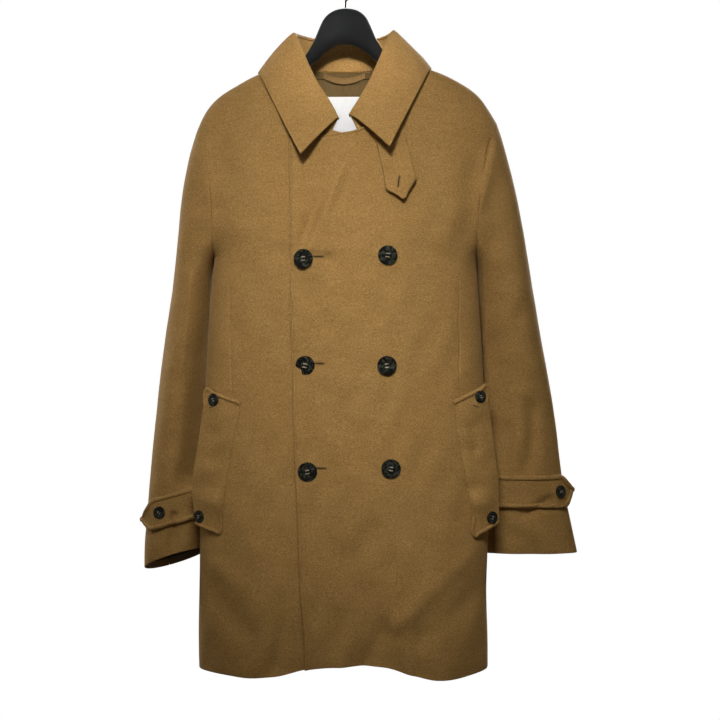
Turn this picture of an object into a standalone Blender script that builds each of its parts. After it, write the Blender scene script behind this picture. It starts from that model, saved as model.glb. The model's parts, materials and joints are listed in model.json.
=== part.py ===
"""Trench-style wool coat on a hanger.

Sizes are in millimetres and become metres where a mesh is written. +Z is up, the front faces -Y,
and the origin is where the rod touches the inside of the hanger's hook. The wearer's left is +X.
The coat's body is one smooth surface, body_point(turn, z), and each panel is cut from it.
"""

from bisect import bisect_right
from math import acos, asin, atan2, cos, exp, pi, radians, sin, sqrt

import bpy
import numpy as np
from mathutils import Matrix

MM = 0.001
SEAM = 0.4              # gap between two pieces at a seam
CLOTH = 3.0             # wool melton with its lining
LAYER = 5.2             # how far the upper front lies over the lower one
TRIM = 4.0              # collar, welts and straps, two cloths with their turnings
LINING = 1.0
LINING_GAP = 1.4        # the lining hangs a little free of the wool

NECK_HALF = 80.0        # half the width of the neck opening at the shoulder seams
NECK_Z = -137.0         # height of the side neck point
NECK_DROP_FRONT = 112.0
NECK_DROP_BACK = 6.0
NECK_STEPS = 6          # columns of a panel along half of the neckline
FOOT_GAP = 0.7          # from the neck seam to the stand
STAND_GAP = 1.3         # from the stand to the roll over it
STAND_IN = 3.4          # the stand's inner face, in from the roll's seam
STAND_SLANT = (140.0, 0.3)      # past this turn its foot falls behind its top by this share
SHOULDER_ROUND = 60.0   # the cloth rounds over the hanger in this height
PIT_Z = -425.0          # height of the armhole's lower end
SECTION_POWER = 2.5     # 2 is an ellipse, more is squarer

SIDES = {"right": -1, "left": 1}      # the wearer's own sides

# Half widths of body and virtual chest, depths from the side seam, and the side seam's own y.
BODY_ROWS = (
    # z, half_right, half_left, front, back, side_y
    (-60, 238, 238, 34, 40, 0),
    (-137, 238, 238, 42, 50, 0),
    (-190, 238, 238, 52, 56, 0),
    (-250, 238, 238, 65, 64, 0),
    (-300, 238, 238, 74, 68, 0),
    (-340, 233, 233, 81, 71, -1),
    (-363, 224, 224, 84, 73, -2),
    (-385, 210, 210, 86, 74, -3),
    (-405, 198, 197, 87, 75, -4),
    (-425, 190, 188.5, 88, 76, -4),
    (-450, 191.5, 190, 88, 77, -5),
    (-480, 195, 193, 88, 79, -6),
    (-540, 198, 196, 87, 81, -8),
    (-604, 201, 199.5, 85, 83, -10),
    (-668, 205, 202, 82, 85, -12),
    (-740, 208, 204, 79, 87, -13),
    (-820, 209, 205.5, 76, 88, -14),
    (-885, 209.5, 202.5, 74, 88, -15),
    (-907, 210, 201.5, 73, 88, -15),
    (-940, 211, 204, 72, 88, -15),
    (-985, 212, 205.5, 70, 88, -15),
    (-1020, 209, 204, 69, 88, -15),
)

# Height of the shoulder line; inside the neck it only shapes the neckline.
SHOULDER_ROWS = (
    # x, z
    (-226, -262), (-217, -243), (-211, -226), (-205, -214), (-198, -203), (-188, -191.5),
    (-172, -180), (-151, -168), (-134, -158), (-110, -148.5), (-80, -137), (-40, -108), (0, -90),
    (40, -108), (80, -137), (110, -144), (130, -150), (147, -157), (167, -168), (186, -180),
    (198, -191.5),
    (205, -203), (212, -214.5), (220, -228), (228, -245),
)

# Armhole seam, distance from the middle of the coat.
ARMHOLE_ROWS = (
    # z, x_right, x_left
    (-200, 217, 226), (-228, 217, 220), (-243, 217, 209), (-253, 210, 205), (-262, 205, 201),
    (-270, 201, 198.5), (-290, 196, 195), (-315, 192.5, 192.5), (-340, 190, 190),
    (-363, 189, 188.5), (-400, 188.3, 187.5), (-415, 188.8, 187.8), (-425, 190, 188.5),
)

# Free edge of the upper front, on the wearer's right of the middle.
FRONT_EDGE_ROWS = (
    # z, x
    (-200, -79), (-262, -78.5), (-372, -76.5), (-523, -74), (-607, -71.5), (-705, -69.5),
    (-792, -65.5), (-899, -61.5), (-963, -57), (-1020, -56),
)
UNDERLAP = 76.0         # how far the lower front runs past the middle
LIFT_SIDE = (81.0, 114.0)       # the upper front comes down to its own side between these places
LIFT_TOP = (-150.0, -245.0)     # and towards the neck between these heights
FLAP_SLOPE = 0.16       # fall of a front's top edge past the middle

HEM_ROWS = (
    # x, z
    (-215, -1008), (-150, -1010), (-95, -1008), (-57, -1000), (0, -996), (49, -995), (93, -1006),
    (125, -1013), (150, -1014), (210, -1007),
)
HEM_Z = -1005.0
BACK_HEM = (-1007.5, -1012.0, 134.0)    # height at the dips, at the middle, and their distance

# Rows down a panel: close together where the shoulder rounds, then to the pit, then to the hem.
TOP_STEPS = (0, 2, 8, 20, 38, 62)
ARM_SHARES = (0.26, 0.48, 0.67, 0.82, 0.93, 1.0)
LOW_ROWS = 11
SHOULDER_COLUMNS = 9

# Soft folds: a line from top to bottom, half width, height at the top, middle and bottom.
FRONT_FOLDS = (
    # name, x_top, z_top, x_bottom, z_bottom, half_width, at_top, at_middle, at_bottom
    ("hem lobe right", -122, -640, -129, -1060, 48, 0, 9, 31),
    ("hem lobe left", 118, -600, 138, -1060, 46, 0, 9, 33),
    ("hem middle", 10, -760, 8, -1060, 52, 0, -3, -8),
    ("chest ridge", -4, -300, -64, -500, 12, 0, 4, 0),
    ("chest dip", -38, -300, -62, -440, 13, 0, -4.5, 0),
    ("armhole dip", -180, -200, -176, -385, 12, 0, -4.5, 0),
    ("low dent", -158, -880, -146, -985, 26, 0, -8, 0),
    ("long ridge", 176, -800, 44, -960, 15, 0, 5, 0),
    ("long ridge dip", 156, -850, 132, -960, 18, 0, -6, 0),
    ("middle dip", 20, -870, -2, -980, 22, 0, -4, 0),
    ("waist ridge", 2, -785, 52, -835, 12, 0, 2.5, 0),
    ("button pull", 92, -560, 128, -600, 12, 0, 3, 0),
    ("dart right", -168, -450, -162, -625, 9, 0, -2.5, 0),
    ("dart left", 166, -450, 160, -625, 9, 0, -2.5, 0),
)
BACK_FOLDS = (
    ("back lobe right", -108, -560, -126, -1060, 44, 0, 8, 20),
    ("back lobe left", 104, -600, 116, -1060, 40, 0, 7, 17),
    ("back middle", -4, -520, 4, -1060, 34, 0, -5, -8),
    ("blade fold", -120, -300, -96, -520, 16, 0, 4, 0),
    ("blade dip", 128, -290, 118, -480, 18, 0, -4, 0),
    ("low fold", 60, -760, 92, -1060, 16, 0, 5, 7),
)

# Sleeves below the armhole: sections across, distance from the middle of the coat.
SLEEVE_TOP_Z = -470.0
SLEEVE_GIRTH = 200.0     # least length round a sleeve, for the width of its seams
SLEEVE_ROWS = {
    "right": (
        # z, inner, outer, mid_y, half_depth
        (-470, 192.5, 253.5, 25, 57), (-520, 193, 262, 30, 55), (-560, 195, 268.5, 33, 53),
        (-640, 198, 278, 37, 50), (-700, 201, 284.5, 39, 47), (-760, 203, 290, 39, 45),
        (-804, 204, 293, 38, 44), (-848, 205, 297, 36, 43), (-880, 205, 296, 35, 43),
    ),
    "left": (
        (-470, 190, 274.5, 24, 57), (-539, 192, 287, 32, 52), (-605, 194, 300, 36, 47),
        (-671, 196, 310.5, 38, 42), (-737, 198, 318, 38, 37), (-804, 199, 331, 37, 32),
        (-850, 199, 341, 36, 28), (-880, 199, 345, 36, 27),
    ),
}
# Folds along a sleeve: place round it (0 outer, 0.25 front, 0.5 inner), width, height.
SLEEVE_FOLDS = {
    "right": (
        # name, u_top, z_top, u_bottom, z_bottom, half_width, at_top, at_middle, at_bottom
        ("front ridge", 0.29, -400, 0.16, -760, 0.06, 0, 6, 0),
        ("inner dip", 0.37, -440, 0.30, -760, 0.05, 0, -5, 0),
        ("cuff groove", 0.22, -720, 0.215, -960, 0.035, 0, -3, -4),
        ("back ridge", 0.80, -420, 0.76, -840, 0.06, 0, 5, 0),
        ("elbow", 0.60, -560, 0.66, -700, 0.05, 0, -4, 0),
    ),
    "left": (
        ("front ridge", 0.20, -420, 0.12, -700, 0.07, 0, 5, 0),
        ("front dip", 0.16, -560, 0.13, -740, 0.04, 0, -4, 0),
        ("inner dip", 0.34, -430, 0.33, -740, 0.05, 0, -4, 0),
        ("back ridge", 0.74, -420, 0.80, -860, 0.06, 0, 5, 0),
        ("elbow", 0.62, -540, 0.58, -700, 0.05, 0, -4, 0),
    ),
}
FORE_SEAM, HIND_SEAM = 9, 5       # rows of the armhole, in front and behind, where the pieces meet
CUFF_Z = {"right": (-860.5, -14.0, 11.0), "left": (-851.0, 0.0, 0.0)}    # mean, outer, front
CUFF_LININGS = (10.0, 35.0, 70.0)       # rows of the lining above the cuff's edge
SLEEVE_CAP_ROWS = (0, 0.1, 0.24, 0.4, 0.58, 0.78, 1.0)
SLEEVE_LOW_ROWS = 11
SLEEVE_REACH = 0.36                     # how far the cap keeps its direction at each end
# Way a sleeve leaves the armhole: outward, less of it at the tip and at the pit, and down.
AWAY_OUT, AWAY_TIP, AWAY_PIT, AWAY_DOWN = 0.62, 0.36, 0.43, 0.8
AWAY_FRONT = 0.0055                     # forward in front and back behind, for each mm of depth
AWAY_BEHIND = 0.35                      # back at the pit

# Collar, round the neck: 0 is the middle of the back, +-90 the shoulders, +-178 the front ends.
FOLD_ROWS = (
    # turn, x, y, z
    (-178, -6.5, -63, -227), (-153, -25, -50, -196), (-142, -37, -42, -180),
    (-122, -52.5, -30, -148), (-105, -64, -15, -118), (-90, -71, 1, -94), (-60, -61, 31, -91),
    (-30, -34, 47, -93), (0, 0, 51, -94), (30, 33, 48, -93), (58, 58, 33, -89.5), (78, 65, 13, -88),
    (92, 63.5, 0, -96), (106, 56.5, -13, -119), (125, 42, -30, -156), (150, 23, -48, -193),
    (178, 3.5, -61, -223),
)
ROLL = 4.7              # outer radius of the collar's roll, over its seam with the stand
FALL_STEP = 10
ROLL_SHARES = (0.0, 0.3, 0.65, 1.0)
LEAF_SHARES = (0.2, 0.42, 0.64, 0.84, 1.0)
LEAF_BULGE = 3.0
LATCH_ROOM = 3.0        # more on the wearer's left, over the throat latch
COLLAR_EDGE_ROWS = (
    # turn, x, z, height over the cloth below
    (-178, -60, -288, 16), (-160, -72, -264, 11), (-140, -86, -236, 8), (-120, -101, -205, 7),
    (-105, -114, -178, 5), (-90, -126, -150, 2.4), (-75, -118, -168, 4), (-45, -84, -174, 6),
    (0, 0, -175, 7), (45, 82, -173, 6), (75, 115, -163, 4), (90, 124, -142, 2.4),
    (105, 112, -173, 7), (120, 98, -200, 10), (140, 84, -229, 13), (160, 71, -256, 17),
    (178, 61, -279, 19),
)

# Pocket welts, from the top end down: the sewn edge on the front, and the free edge beside it.
WELT_ROWS = {
    "right": (
        # inner_x, inner_z, outer_x, outer_y, outer_z
        (-145.5, -627, -197.5, -52, -608), (-154, -672, -204, -50, -655),
        (-162, -718, -211, -48, -703), (-169, -763, -218, -46, -750), (-175, -814, -212, -48, -802),
    ),
    "left": (
        (150.5, -626, 201.5, -52, -602.5), (158, -672, 206, -50, -652),
        (166, -716, 213, -48, -702), (174, -762, 218, -46, -752), (181, -819, 218.5, -46, -800.5),
    ),
}
WELT_LIFT = 0.9
WELT_BOW = 5.0          # how far a welt bows forward between its edges
WELT_EDGE = 1.0         # thickness at the sewn edge, where the cloth is pressed flat

BUTTON_LARGE = 26.6     # diameters
BUTTON_SMALL = 18.0
BUTTON_HEIGHT = 0.13    # of the diameter
# Half section of a button from its back to its face: share of the radius, share of the height.
BUTTON_PROFILE = ((0, 0), (0.72, 0), (1, 0.5), (0.93, 1), (0.74, 0.72), (0, 0.66))
BUTTON_SIDES = 18
FRONT_BUTTONS = (
    # name, x, z
    ("right_top", -55.5, -429), ("right_middle", -54.5, -576), ("right_low", -51.5, -723),
    ("left_top", 59, -423), ("left_middle", 58, -576), ("left_low", 64, -719),
)
POCKET_BUTTONS = (
    # name, side, place down the welt, place across it from the sewn edge
    ("right_top", "right", 0.06, 0.72), ("right_low", "right", 0.93, 0.80),
    ("left_top", "left", 0.06, 0.76), ("left_low", "left", 0.93, 0.72),
)

STRAP_WIDTH = 47.0
STRAP_START = 0.376     # at the fore seam
STRAP_ROWS = {
    # middle_z at the seam, middle_z and u at the point, share that narrows, lift of the point
    "right": (-772.0, -803.0, 0.02, 0.32, 3.0), "left": (-759.0, -761.0, 0.005, 0.18, 8.0),
}
CUFF_BUTTONS = {"right": 0.56, "left": 0.74}      # place along the strap

LATCH_STAND = 5.0       # how far the latch's point stands off the chest
LATCH_TOP = (38.0, 80.0, -236.0)                  # x of its two edges and z of its hidden end
LATCH_LOW = (57.5, 98.0, -334.0, -318.0, 81.0, -347.0)   # left x, right x, their z, point x and z

# Inside the neck.
NECK_LINING = (66.0, 92.0, 9.0, -300.0)     # half widths at top and bottom, top below seam, low z
LABEL = (-3.0, 72.0, -178.0, 62.0, 0.8)     # middle x, width, top z, height, thickness
LOOP = (-34.0, 29.0, -146.0, 10.0, 9.0, 1.6)   # left x, right x, end z, sag, width, thickness
LOOP_ROOM = 5.0         # the loop's middle stands this far off the lining

HANGER_SIDES = 14       # points round a section
HANGER_POWER = 0.75     # 1 is an ellipse, less is squarer
HANGER_TILT = 0.0155    # rise towards the wearer's left, whose shoulder hangs a little higher
HANGER_ROWS = (
    # x, top_z, bottom_z, half_depth
    (0, -58, -112, 13), (10, -59, -113, 13), (18, -61.5, -116, 12.5), (25, -66, -120.5, 12),
    (30, -71, -124, 12), (33.5, -76.5, -127.5, 11.5), (37, -84, -131.5, 11.5), (41, -93, -135, 11),
    (47, -109, -139, 10.5), (58, -127, -147, 10),
    (74, -145, -163, 10), (84, -150, -168, 11), (100, -148.1, -174, 12), (125, -156.9, -186, 15),
    (150, -171.9, -202, 19), (168, -182.6, -214, 22), (180, -192.4, -220, 22),
    (186, -199.5, -216, 14),
)
HOOK_WIRE = 2.0         # radius of the wire
HOOK_INSIDE = 20.0      # radius inside the bend
HOOK_NECK = ((0.0, -50.0), (0.4, -46.5))    # x, z of the wire between dome and bend
HOOK_BEND = (-68, 15, 19)                   # first angle, step and number of points of the bend

COLOURS = {
    # material: sRGB colour, roughness, metallic
    "wool": ((144, 112, 68), 0.9, 0.0),
    "lining": ((100, 80, 48), 0.45, 0.0),
    "dark_lining": ((34, 29, 24), 0.5, 0.0),
    "label": ((226, 226, 224), 0.7, 0.0),
    "horn": ((42, 41, 37), 0.2, 0.0),
    "black_plastic": ((27, 28, 27), 0.35, 0.0),
    "steel": ((190, 190, 190), 0.25, 1.0),
}


TOP_RANGE = (-70.0, -300.0)     # heights between which a panel's top edge lies
TIP_RANGE = (-180.0, -300.0)    # heights between which an armhole's upper end lies
HALVINGS = 50
NUDGE = 0.004                   # small step along a turn, for normals


# ---------------------------------------------------------------- helpers

def between(rows, place, column=1):
    """Smooth value of a column at a place in column 0, with no overshoot between rows."""
    table = sorted(rows)
    keys = [row[0] for row in table]
    values = [row[column] for row in table]
    last = len(keys) - 1
    place = min(max(place, keys[0]), keys[-1])
    i = min(bisect_right(keys, place) - 1, last - 1)
    steps = [(values[k + 1] - values[k]) / (keys[k + 1] - keys[k]) for k in range(last)]

    def slope(k):
        if k == 0 or k == last:
            return steps[min(k, last - 1)]
        before, after = steps[k - 1], steps[k]
        return 0.0 if before * after <= 0 else 2 * before * after / (before + after)

    width = keys[i + 1] - keys[i]
    t = (place - keys[i]) / width
    return (values[i] * (1 + 2 * t) * (1 - t) ** 2 + values[i + 1] * t * t * (3 - 2 * t)
            + width * t * (1 - t) * (slope(i) * (1 - t) - slope(i + 1) * t))


def fade(value, start, end):
    """0 at start, 1 at end, smooth between them."""
    t = min(max((value - start) / (end - start), 0.0), 1.0)
    return t * t * (3 - 2 * t)


def unit(vector):
    return vector / np.linalg.norm(vector)


def blend(a, b, t):
    return a + (b - a) * t


def fold_height(folds, across, z):
    """Height of the soft folds at a place on the cloth."""
    total = 0.0
    for _, top_at, top_z, low_at, low_z, width, high, middle, low in folds:
        t = (z - top_z) / (low_z - top_z)
        if 0 <= t <= 1:
            along = between(((0, high), (0.5, middle), (1, low)), t)
            total += along * exp(-((across - blend(top_at, low_at, t)) / width) ** 2)
    return total


def srgb(colour):
    """Linear colour from 0-255 sRGB."""
    parts = [c / 255 for c in colour]
    return [c / 12.92 if c <= 0.04045 else ((c + 0.055) / 1.055) ** 2.4 for c in parts] + [1.0]


def make_materials():
    made = {}
    for name, (colour, roughness, metallic) in COLOURS.items():
        material = bpy.data.materials.new(name)
        material.use_nodes = True
        shader = material.node_tree.nodes["Principled BSDF"]
        shader.inputs["Base Color"].default_value = srgb(colour)
        shader.inputs["Roughness"].default_value = roughness
        shader.inputs["Metallic"].default_value = metallic
        made[name] = material
    return made


def add_object(name, vertices, faces, material):
    """One closed mesh, turned outward, in the coat's collection."""
    mesh = bpy.data.meshes.new(name)
    points = [tuple(float(c) * MM for c in v) for v in vertices]
    if signed_volume(points, faces) < 0:
        faces = [tuple(reversed(face)) for face in faces]
    mesh.from_pydata(points, [], faces)
    mesh.materials.append(material)
    mesh.shade_smooth()
    made = bpy.data.objects.new(name, mesh)
    coat.objects.link(made)
    return made


def signed_volume(points, faces):
    total = 0.0
    for face in faces:
        a = np.array(points[face[0]])
        for k in range(1, len(face) - 1):
            b, c = np.array(points[face[k]]), np.array(points[face[k + 1]])
            total += float(np.dot(a, np.cross(b, c)))
    return total


def grid_normals(grid, closed=False):
    """Unit normals of a grid of points, from the differences to its neighbours."""
    if closed:
        along = np.roll(grid, -1, axis=1) - np.roll(grid, 1, axis=1)
    else:
        along = np.gradient(grid, axis=1)
    down = np.gradient(grid, axis=0)
    normals = np.cross(along, down)
    return normals / np.linalg.norm(normals, axis=2, keepdims=True)


def wall(name, grid, normals, thickness, material, closed=False):
    """A closed wall: the grid, a second one moved back along the normals, and the rims."""
    rows, columns = grid.shape[:2]
    inner = grid - normals * thickness
    vertices = list(grid.reshape(-1, 3)) + list(inner.reshape(-1, 3))
    back = rows * columns

    def at(i, j):
        return i * columns + j % columns

    faces = []
    spans = columns if closed else columns - 1
    for i in range(rows - 1):
        for j in range(spans):
            a, b, c, d = at(i, j), at(i, j + 1), at(i + 1, j + 1), at(i + 1, j)
            faces.append((a, b, c, d))
            faces.append((back + d, back + c, back + b, back + a))
    for j in range(spans):
        for i, flip in ((0, True), (rows - 1, False)):
            a, b = at(i, j), at(i, j + 1)
            rim = (a, b, back + b, back + a)
            faces.append(rim if not flip else tuple(reversed(rim)))
    if not closed:
        for i in range(rows - 1):
            for j, flip in ((0, False), (columns - 1, True)):
                a, b = at(i, j), at(i + 1, j)
                rim = (a, b, back + b, back + a)
                faces.append(rim if not flip else tuple(reversed(rim)))
    return add_object(name, vertices, faces, material)


# ---------------------------------------------------------------- body of the coat

def half_width(x_sign, z):
    return between(BODY_ROWS, z, 1 if x_sign < 0 else 2)


def shoulder_z(x):
    return between(SHOULDER_ROWS, x)


def body_point(turn, z):
    """Point of the coat's outer surface: turn is 0 in front, pi/2 at +X, pi behind."""
    across = sin(turn)
    front = cos(turn) >= 0
    x = half_width(across, z) * across
    rounding = max(1 - abs(across) ** SECTION_POWER, 0.0) ** (1 / SECTION_POWER)
    drop = min(max((shoulder_z(x) - z) / SHOULDER_ROUND, 0.0), 1.0)
    over = sqrt(1 - (1 - drop) ** 2)
    depth = between(BODY_ROWS, z, 3 if front else 4)
    depth += fold_height(FRONT_FOLDS if front else BACK_FOLDS, x, z)
    y = between(BODY_ROWS, z, 5) + (-1 if front else 1) * depth * rounding * over
    return np.array((x, y, z))


def body_normal(turn, z):
    """Outward normal of the coat's surface."""
    step_z = 0.6
    along = body_point(turn + NUDGE, z) - body_point(turn - NUDGE, z)
    down = body_point(turn, z - step_z) - body_point(turn, z + step_z)
    normal = unit(np.cross(along, down))
    here = body_point(turn, z)
    well_inside = np.array((here[0] * 0.8, between(BODY_ROWS, z, 5), z - 30))
    if np.dot(normal, here - well_inside) < 0:
        normal = -normal
    at_shoulder = shoulder_z(here[0]) - z < step_z
    if at_shoulder:
        normal[1] = 0.0
    return unit(normal)


def turn_at(x, z, front=True):
    """The turn that meets a distance across at a height."""
    turn = asin(min(max(x / half_width(x, z), -1.0), 1.0))
    return turn if front else pi - turn


def on_body(x, z, lift, front=True):
    """A point over the cloth, and the cloth's normal there."""
    turn = turn_at(x, z, front)
    normal = body_normal(turn, z)
    if front and x > between(FRONT_EDGE_ROWS, z):
        lift += upper_lift(x, z)
    return body_point(turn, z) + normal * lift, normal


def armhole_turn(side, z, front):
    """The turn of the armhole seam, or of the side seam below it."""
    sign = SIDES[side]
    x = sign * between(ARMHOLE_ROWS, z, 1 if sign < 0 else 2)
    across = sign if z <= PIT_Z else x / half_width(sign, z)
    turn = asin(min(max(across, -1.0), 1.0))
    return turn if front else sign * pi - turn


def neckline_z(x, front):
    """Height of the neck seam."""
    if abs(x) >= NECK_HALF:
        return shoulder_z(x)
    drop = NECK_DROP_FRONT if front else NECK_DROP_BACK
    return NECK_Z - drop * sqrt(1 - (x / NECK_HALF) ** 2)


def panel_top(turn_of, top_of, share):
    """Height at which a column of a panel meets the panel's top edge."""
    high, low = TOP_RANGE
    for _ in range(HALVINGS):
        z = (high + low) / 2
        x = body_point(turn_of(share, z), z)[0]
        if z > top_of(x):
            high = z
        else:
            low = z
    return low


def column_heights(top, hem):
    """Heights down one column: the same rule everywhere, so that seams share their points."""
    heights = [top - step for step in TOP_STEPS]
    heights += [blend(heights[-1], PIT_Z, share) for share in ARM_SHARES]
    return heights + [blend(PIT_Z, hem, (k + 1) / LOW_ROWS) for k in range(LOW_ROWS)]


def hem_z(x, front):
    if front:
        return between(HEM_ROWS, x)
    dip, middle, distance = BACK_HEM
    return blend(dip, middle, cos(x / distance))


def body_panel(name, inner_turn, outer_turn, top_of, neck_shares, lifted, front):
    """A front or back: columns run from neck or shoulder to the hem."""
    def turn_of(share, z):
        return blend(inner_turn(z), outer_turn(z), share)

    shares = neck_shares + list(np.linspace(neck_shares[-1], 1, SHOULDER_COLUMNS + 1))[1:]
    rows = len(TOP_STEPS) + len(ARM_SHARES) + LOW_ROWS
    grid = np.zeros((rows, len(shares), 3))
    normals = np.zeros_like(grid)
    for j, share in enumerate(shares):
        top = panel_top(turn_of, top_of, share)
        hem = hem_z(body_point(turn_of(share, HEM_Z), HEM_Z)[0], front)
        for i, z in enumerate(column_heights(top, hem)):
            turn = turn_of(share, z)
            normal = body_normal(turn, z)
            point = body_point(turn, z)
            if lifted:
                point = point + normal * upper_lift(point[0], z)
            point[1] += (-SEAM if front else SEAM) / 2
            grid[i, j], normals[i, j] = point, normal
    wall(name, grid, normals, CLOTH, materials["wool"])


def upper_lift(x, z):
    """The upper front lies over the lower one and comes down beside its hidden edges."""
    return LAYER * (1 - fade(x, *LIFT_SIDE)) * fade(z, *LIFT_TOP)


def flap_top(sign):
    """Top edge of a front: the neckline on its own side, and a nearly level edge past the middle."""
    def top(x):
        if x * sign < 0:
            return NECK_Z - NECK_DROP_FRONT - FLAP_SLOPE * abs(x)
        return neckline_z(x, True) if abs(x) < NECK_HALF else shoulder_z(x)
    return top


def neck_places(sign):
    """Distances across at which columns meet the neckline, closer together where it is steep."""
    return [sign * NECK_HALF * sin(pi / 2 * k / NECK_STEPS) for k in range(NECK_STEPS + 1)]


def make_body():
    def upper_inner(z):
        return turn_at(between(FRONT_EDGE_ROWS, z), z)

    def lower_inner(z):
        return turn_at(UNDERLAP, z)

    for side, inner in (("left", upper_inner), ("right", lower_inner)):
        def outer(z, side=side):
            return armhole_turn(side, z, True)
        sign = SIDES[side]
        lap = [-sign * UNDERLAP * k / NECK_STEPS for k in range(NECK_STEPS, 0, -1)]
        turns = [turn_at(x, NECK_Z) for x in lap + neck_places(sign)]
        turns[0] = inner(NECK_Z)
        shares = [(turn - turns[0]) / (outer(NECK_Z) - turns[0]) for turn in turns]
        body_panel(f"front_{side}", inner, outer, flap_top(sign), shares, side == "left", True)

    for side, sign in SIDES.items():
        def middle(z, sign=sign):
            return sign * (pi - SEAM / 2 / half_width(sign, z))

        def outer(z, side=side):
            return armhole_turn(side, z, False)

        def top(x):
            return neckline_z(x, False)

        turns = [sign * (pi - asin(abs(x) / half_width(sign, NECK_Z))) for x in neck_places(sign)]
        turns[0] = middle(NECK_Z)
        shares = [(turn - turns[0]) / (outer(NECK_Z) - turns[0]) for turn in turns]
        body_panel(f"back_{side}", middle, outer, top, shares, False, False)


# ---------------------------------------------------------------- sleeves

def armhole_tip(side):
    """Height of the upper end of the armhole."""
    sign = SIDES[side]
    high, low = TIP_RANGE
    for _ in range(HALVINGS):
        z = (high + low) / 2
        x = sign * between(ARMHOLE_ROWS, z, 1 if sign < 0 else 2)
        high, low = (z, low) if z > shoulder_z(x) else (high, z)
    return low


def armhole_places(side):
    """Places round the sleeve that meet the rows of the body at the armhole, from 0 to 0.5."""
    tip = armhole_tip(side)
    heights = column_heights(tip, PIT_Z)[:len(TOP_STEPS) + len(ARM_SHARES)]
    shares = [min((tip - z) / (tip - PIT_Z), 1.0) for z in heights]
    return [acos(1 - 2 * share) / (2 * pi) for share in shares]


def armhole_point(side, u):
    """The armhole seam: u is 0 at the shoulder, 0.25 in front, 0.5 at the pit, 0.75 behind."""
    u = u % 1.0
    front = u < 0.5
    share = 2 * u if front else 2 * (1 - u)
    z = blend(armhole_tip(side), PIT_Z, (1 - cos(pi * share)) / 2)
    turn = armhole_turn(side, z, front)
    return body_point(turn, z), body_normal(turn, z)


def sleeve_section(side, u, z):
    """A point of the sleeve below the armhole."""
    sign = SIDES[side]
    rows = SLEEVE_ROWS[side]
    inner, outer = between(rows, z, 1), between(rows, z, 2)
    mid_y, deep = between(rows, z, 3), between(rows, z, 4)
    bump = fold_height(SLEEVE_FOLDS[side], u % 1.0, z)
    angle = 2 * pi * u
    x = (inner + outer) / 2 + ((outer - inner) / 2 + bump) * cos(angle)
    return np.array((sign * x, mid_y - (deep + bump) * sin(angle), z))


def cuff_z(side, u):
    mean, outer, front = CUFF_Z[side]
    return mean + outer * cos(2 * pi * u) + front * sin(2 * pi * u)


def sleeve_point(side, u, v):
    """v runs 0 to 1 from the armhole to the first section, and 1 to 2 to the cuff."""
    if v >= 1:
        return sleeve_section(side, u, blend(SLEEVE_TOP_Z, cuff_z(side, u), v - 1))
    sign = SIDES[side]
    start, normal = armhole_point(side, u)
    end = sleeve_section(side, u, SLEEVE_TOP_Z)
    at_pit = 1 - fade(abs(u % 1.0 - 0.5), 0.0, 0.2)
    at_tip = 1 - fade(min(u % 1.0, 1 - u % 1.0), 0.0, 0.2)
    out = AWAY_OUT - AWAY_TIP * at_tip - AWAY_PIT * at_pit
    away = unit(np.array((sign * out, AWAY_BEHIND * at_pit - AWAY_FRONT * start[1], -AWAY_DOWN)))
    start = start + away * SEAM
    reach = np.linalg.norm(end - start) * SLEEVE_REACH
    down = unit(sleeve_section(side, u, SLEEVE_TOP_Z - 12) - end)
    first, second = start + away * reach, end - down * reach
    w = 1 - v
    return start * w ** 3 + 3 * first * w * w * v + 3 * second * w * v * v + end * v ** 3


def sleeve_piece(name, side, places):
    levels = list(SLEEVE_CAP_ROWS) + [1 + (k + 1) / SLEEVE_LOW_ROWS for k in range(SLEEVE_LOW_ROWS)]
    grid = np.zeros((len(levels), len(places), 3))
    normals = np.zeros_like(grid)
    for i, v in enumerate(levels):
        for j, u in enumerate(places):
            grid[i, j] = sleeve_point(side, u, v)
            along = sleeve_point(side, u + NUDGE, v) - sleeve_point(side, u - NUDGE, v)
            below = min(v + NUDGE * 3, 2.0)
            above = max(v - NUDGE * 3, 0.0)
            down = sleeve_point(side, u, below) - sleeve_point(side, u, above)
            normal = unit(np.cross(along, down)) * SIDES[side]
            if v == 0:
                seam_normal = armhole_point(side, u)[1]
                share = fade(abs((u % 1.0) - 0.5), 0.06, 0.2)
                normal = unit(blend(normal, seam_normal, share))
            normals[i, j] = normal
    wall(name, grid, normals, CLOTH, materials["wool"])


def make_sleeves():
    for side in SIDES:
        gap = SEAM / 2 / SLEEVE_GIRTH
        half = armhole_places(side)
        whole = half + [1 - u for u in reversed(half[1:-1])]
        fore, hind = half[FORE_SEAM], 1 - half[HIND_SEAM]
        top = [u - 1 for u in whole if u > hind] + [u for u in whole if u < fore]
        under = [u for u in whole if fore < u < hind]
        sleeve_piece(f"top_sleeve_{side}", side, [hind - 1 + gap] + top + [fore - gap])
        sleeve_piece(f"under_sleeve_{side}", side, [fore + gap] + under + [hind - gap])
        cuff_lining(side, whole)


def sleeve_frame(side, u, z):
    """A point of the sleeve and its outward normal."""
    along = sleeve_section(side, u + NUDGE, z) - sleeve_section(side, u - NUDGE, z)
    down = sleeve_section(side, u, z - 2) - sleeve_section(side, u, z + 2)
    return sleeve_section(side, u, z), unit(np.cross(along, down)) * SIDES[side]


def cuff_lining(side, places):
    """The lining that shows inside an open cuff."""
    grid = np.zeros((len(CUFF_LININGS), len(places), 3))
    normals = np.zeros_like(grid)
    for i, level in enumerate(CUFF_LININGS):
        for j, u in enumerate(places):
            point, normal = sleeve_frame(side, u, cuff_z(side, u) + level)
            grid[i, j] = point - normal * (CLOTH + LINING_GAP)
            normals[i, j] = normal
    wall(f"cuff_lining_{side}", grid, normals, LINING, materials["dark_lining"], closed=True)


# ---------------------------------------------------------------- collar

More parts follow.
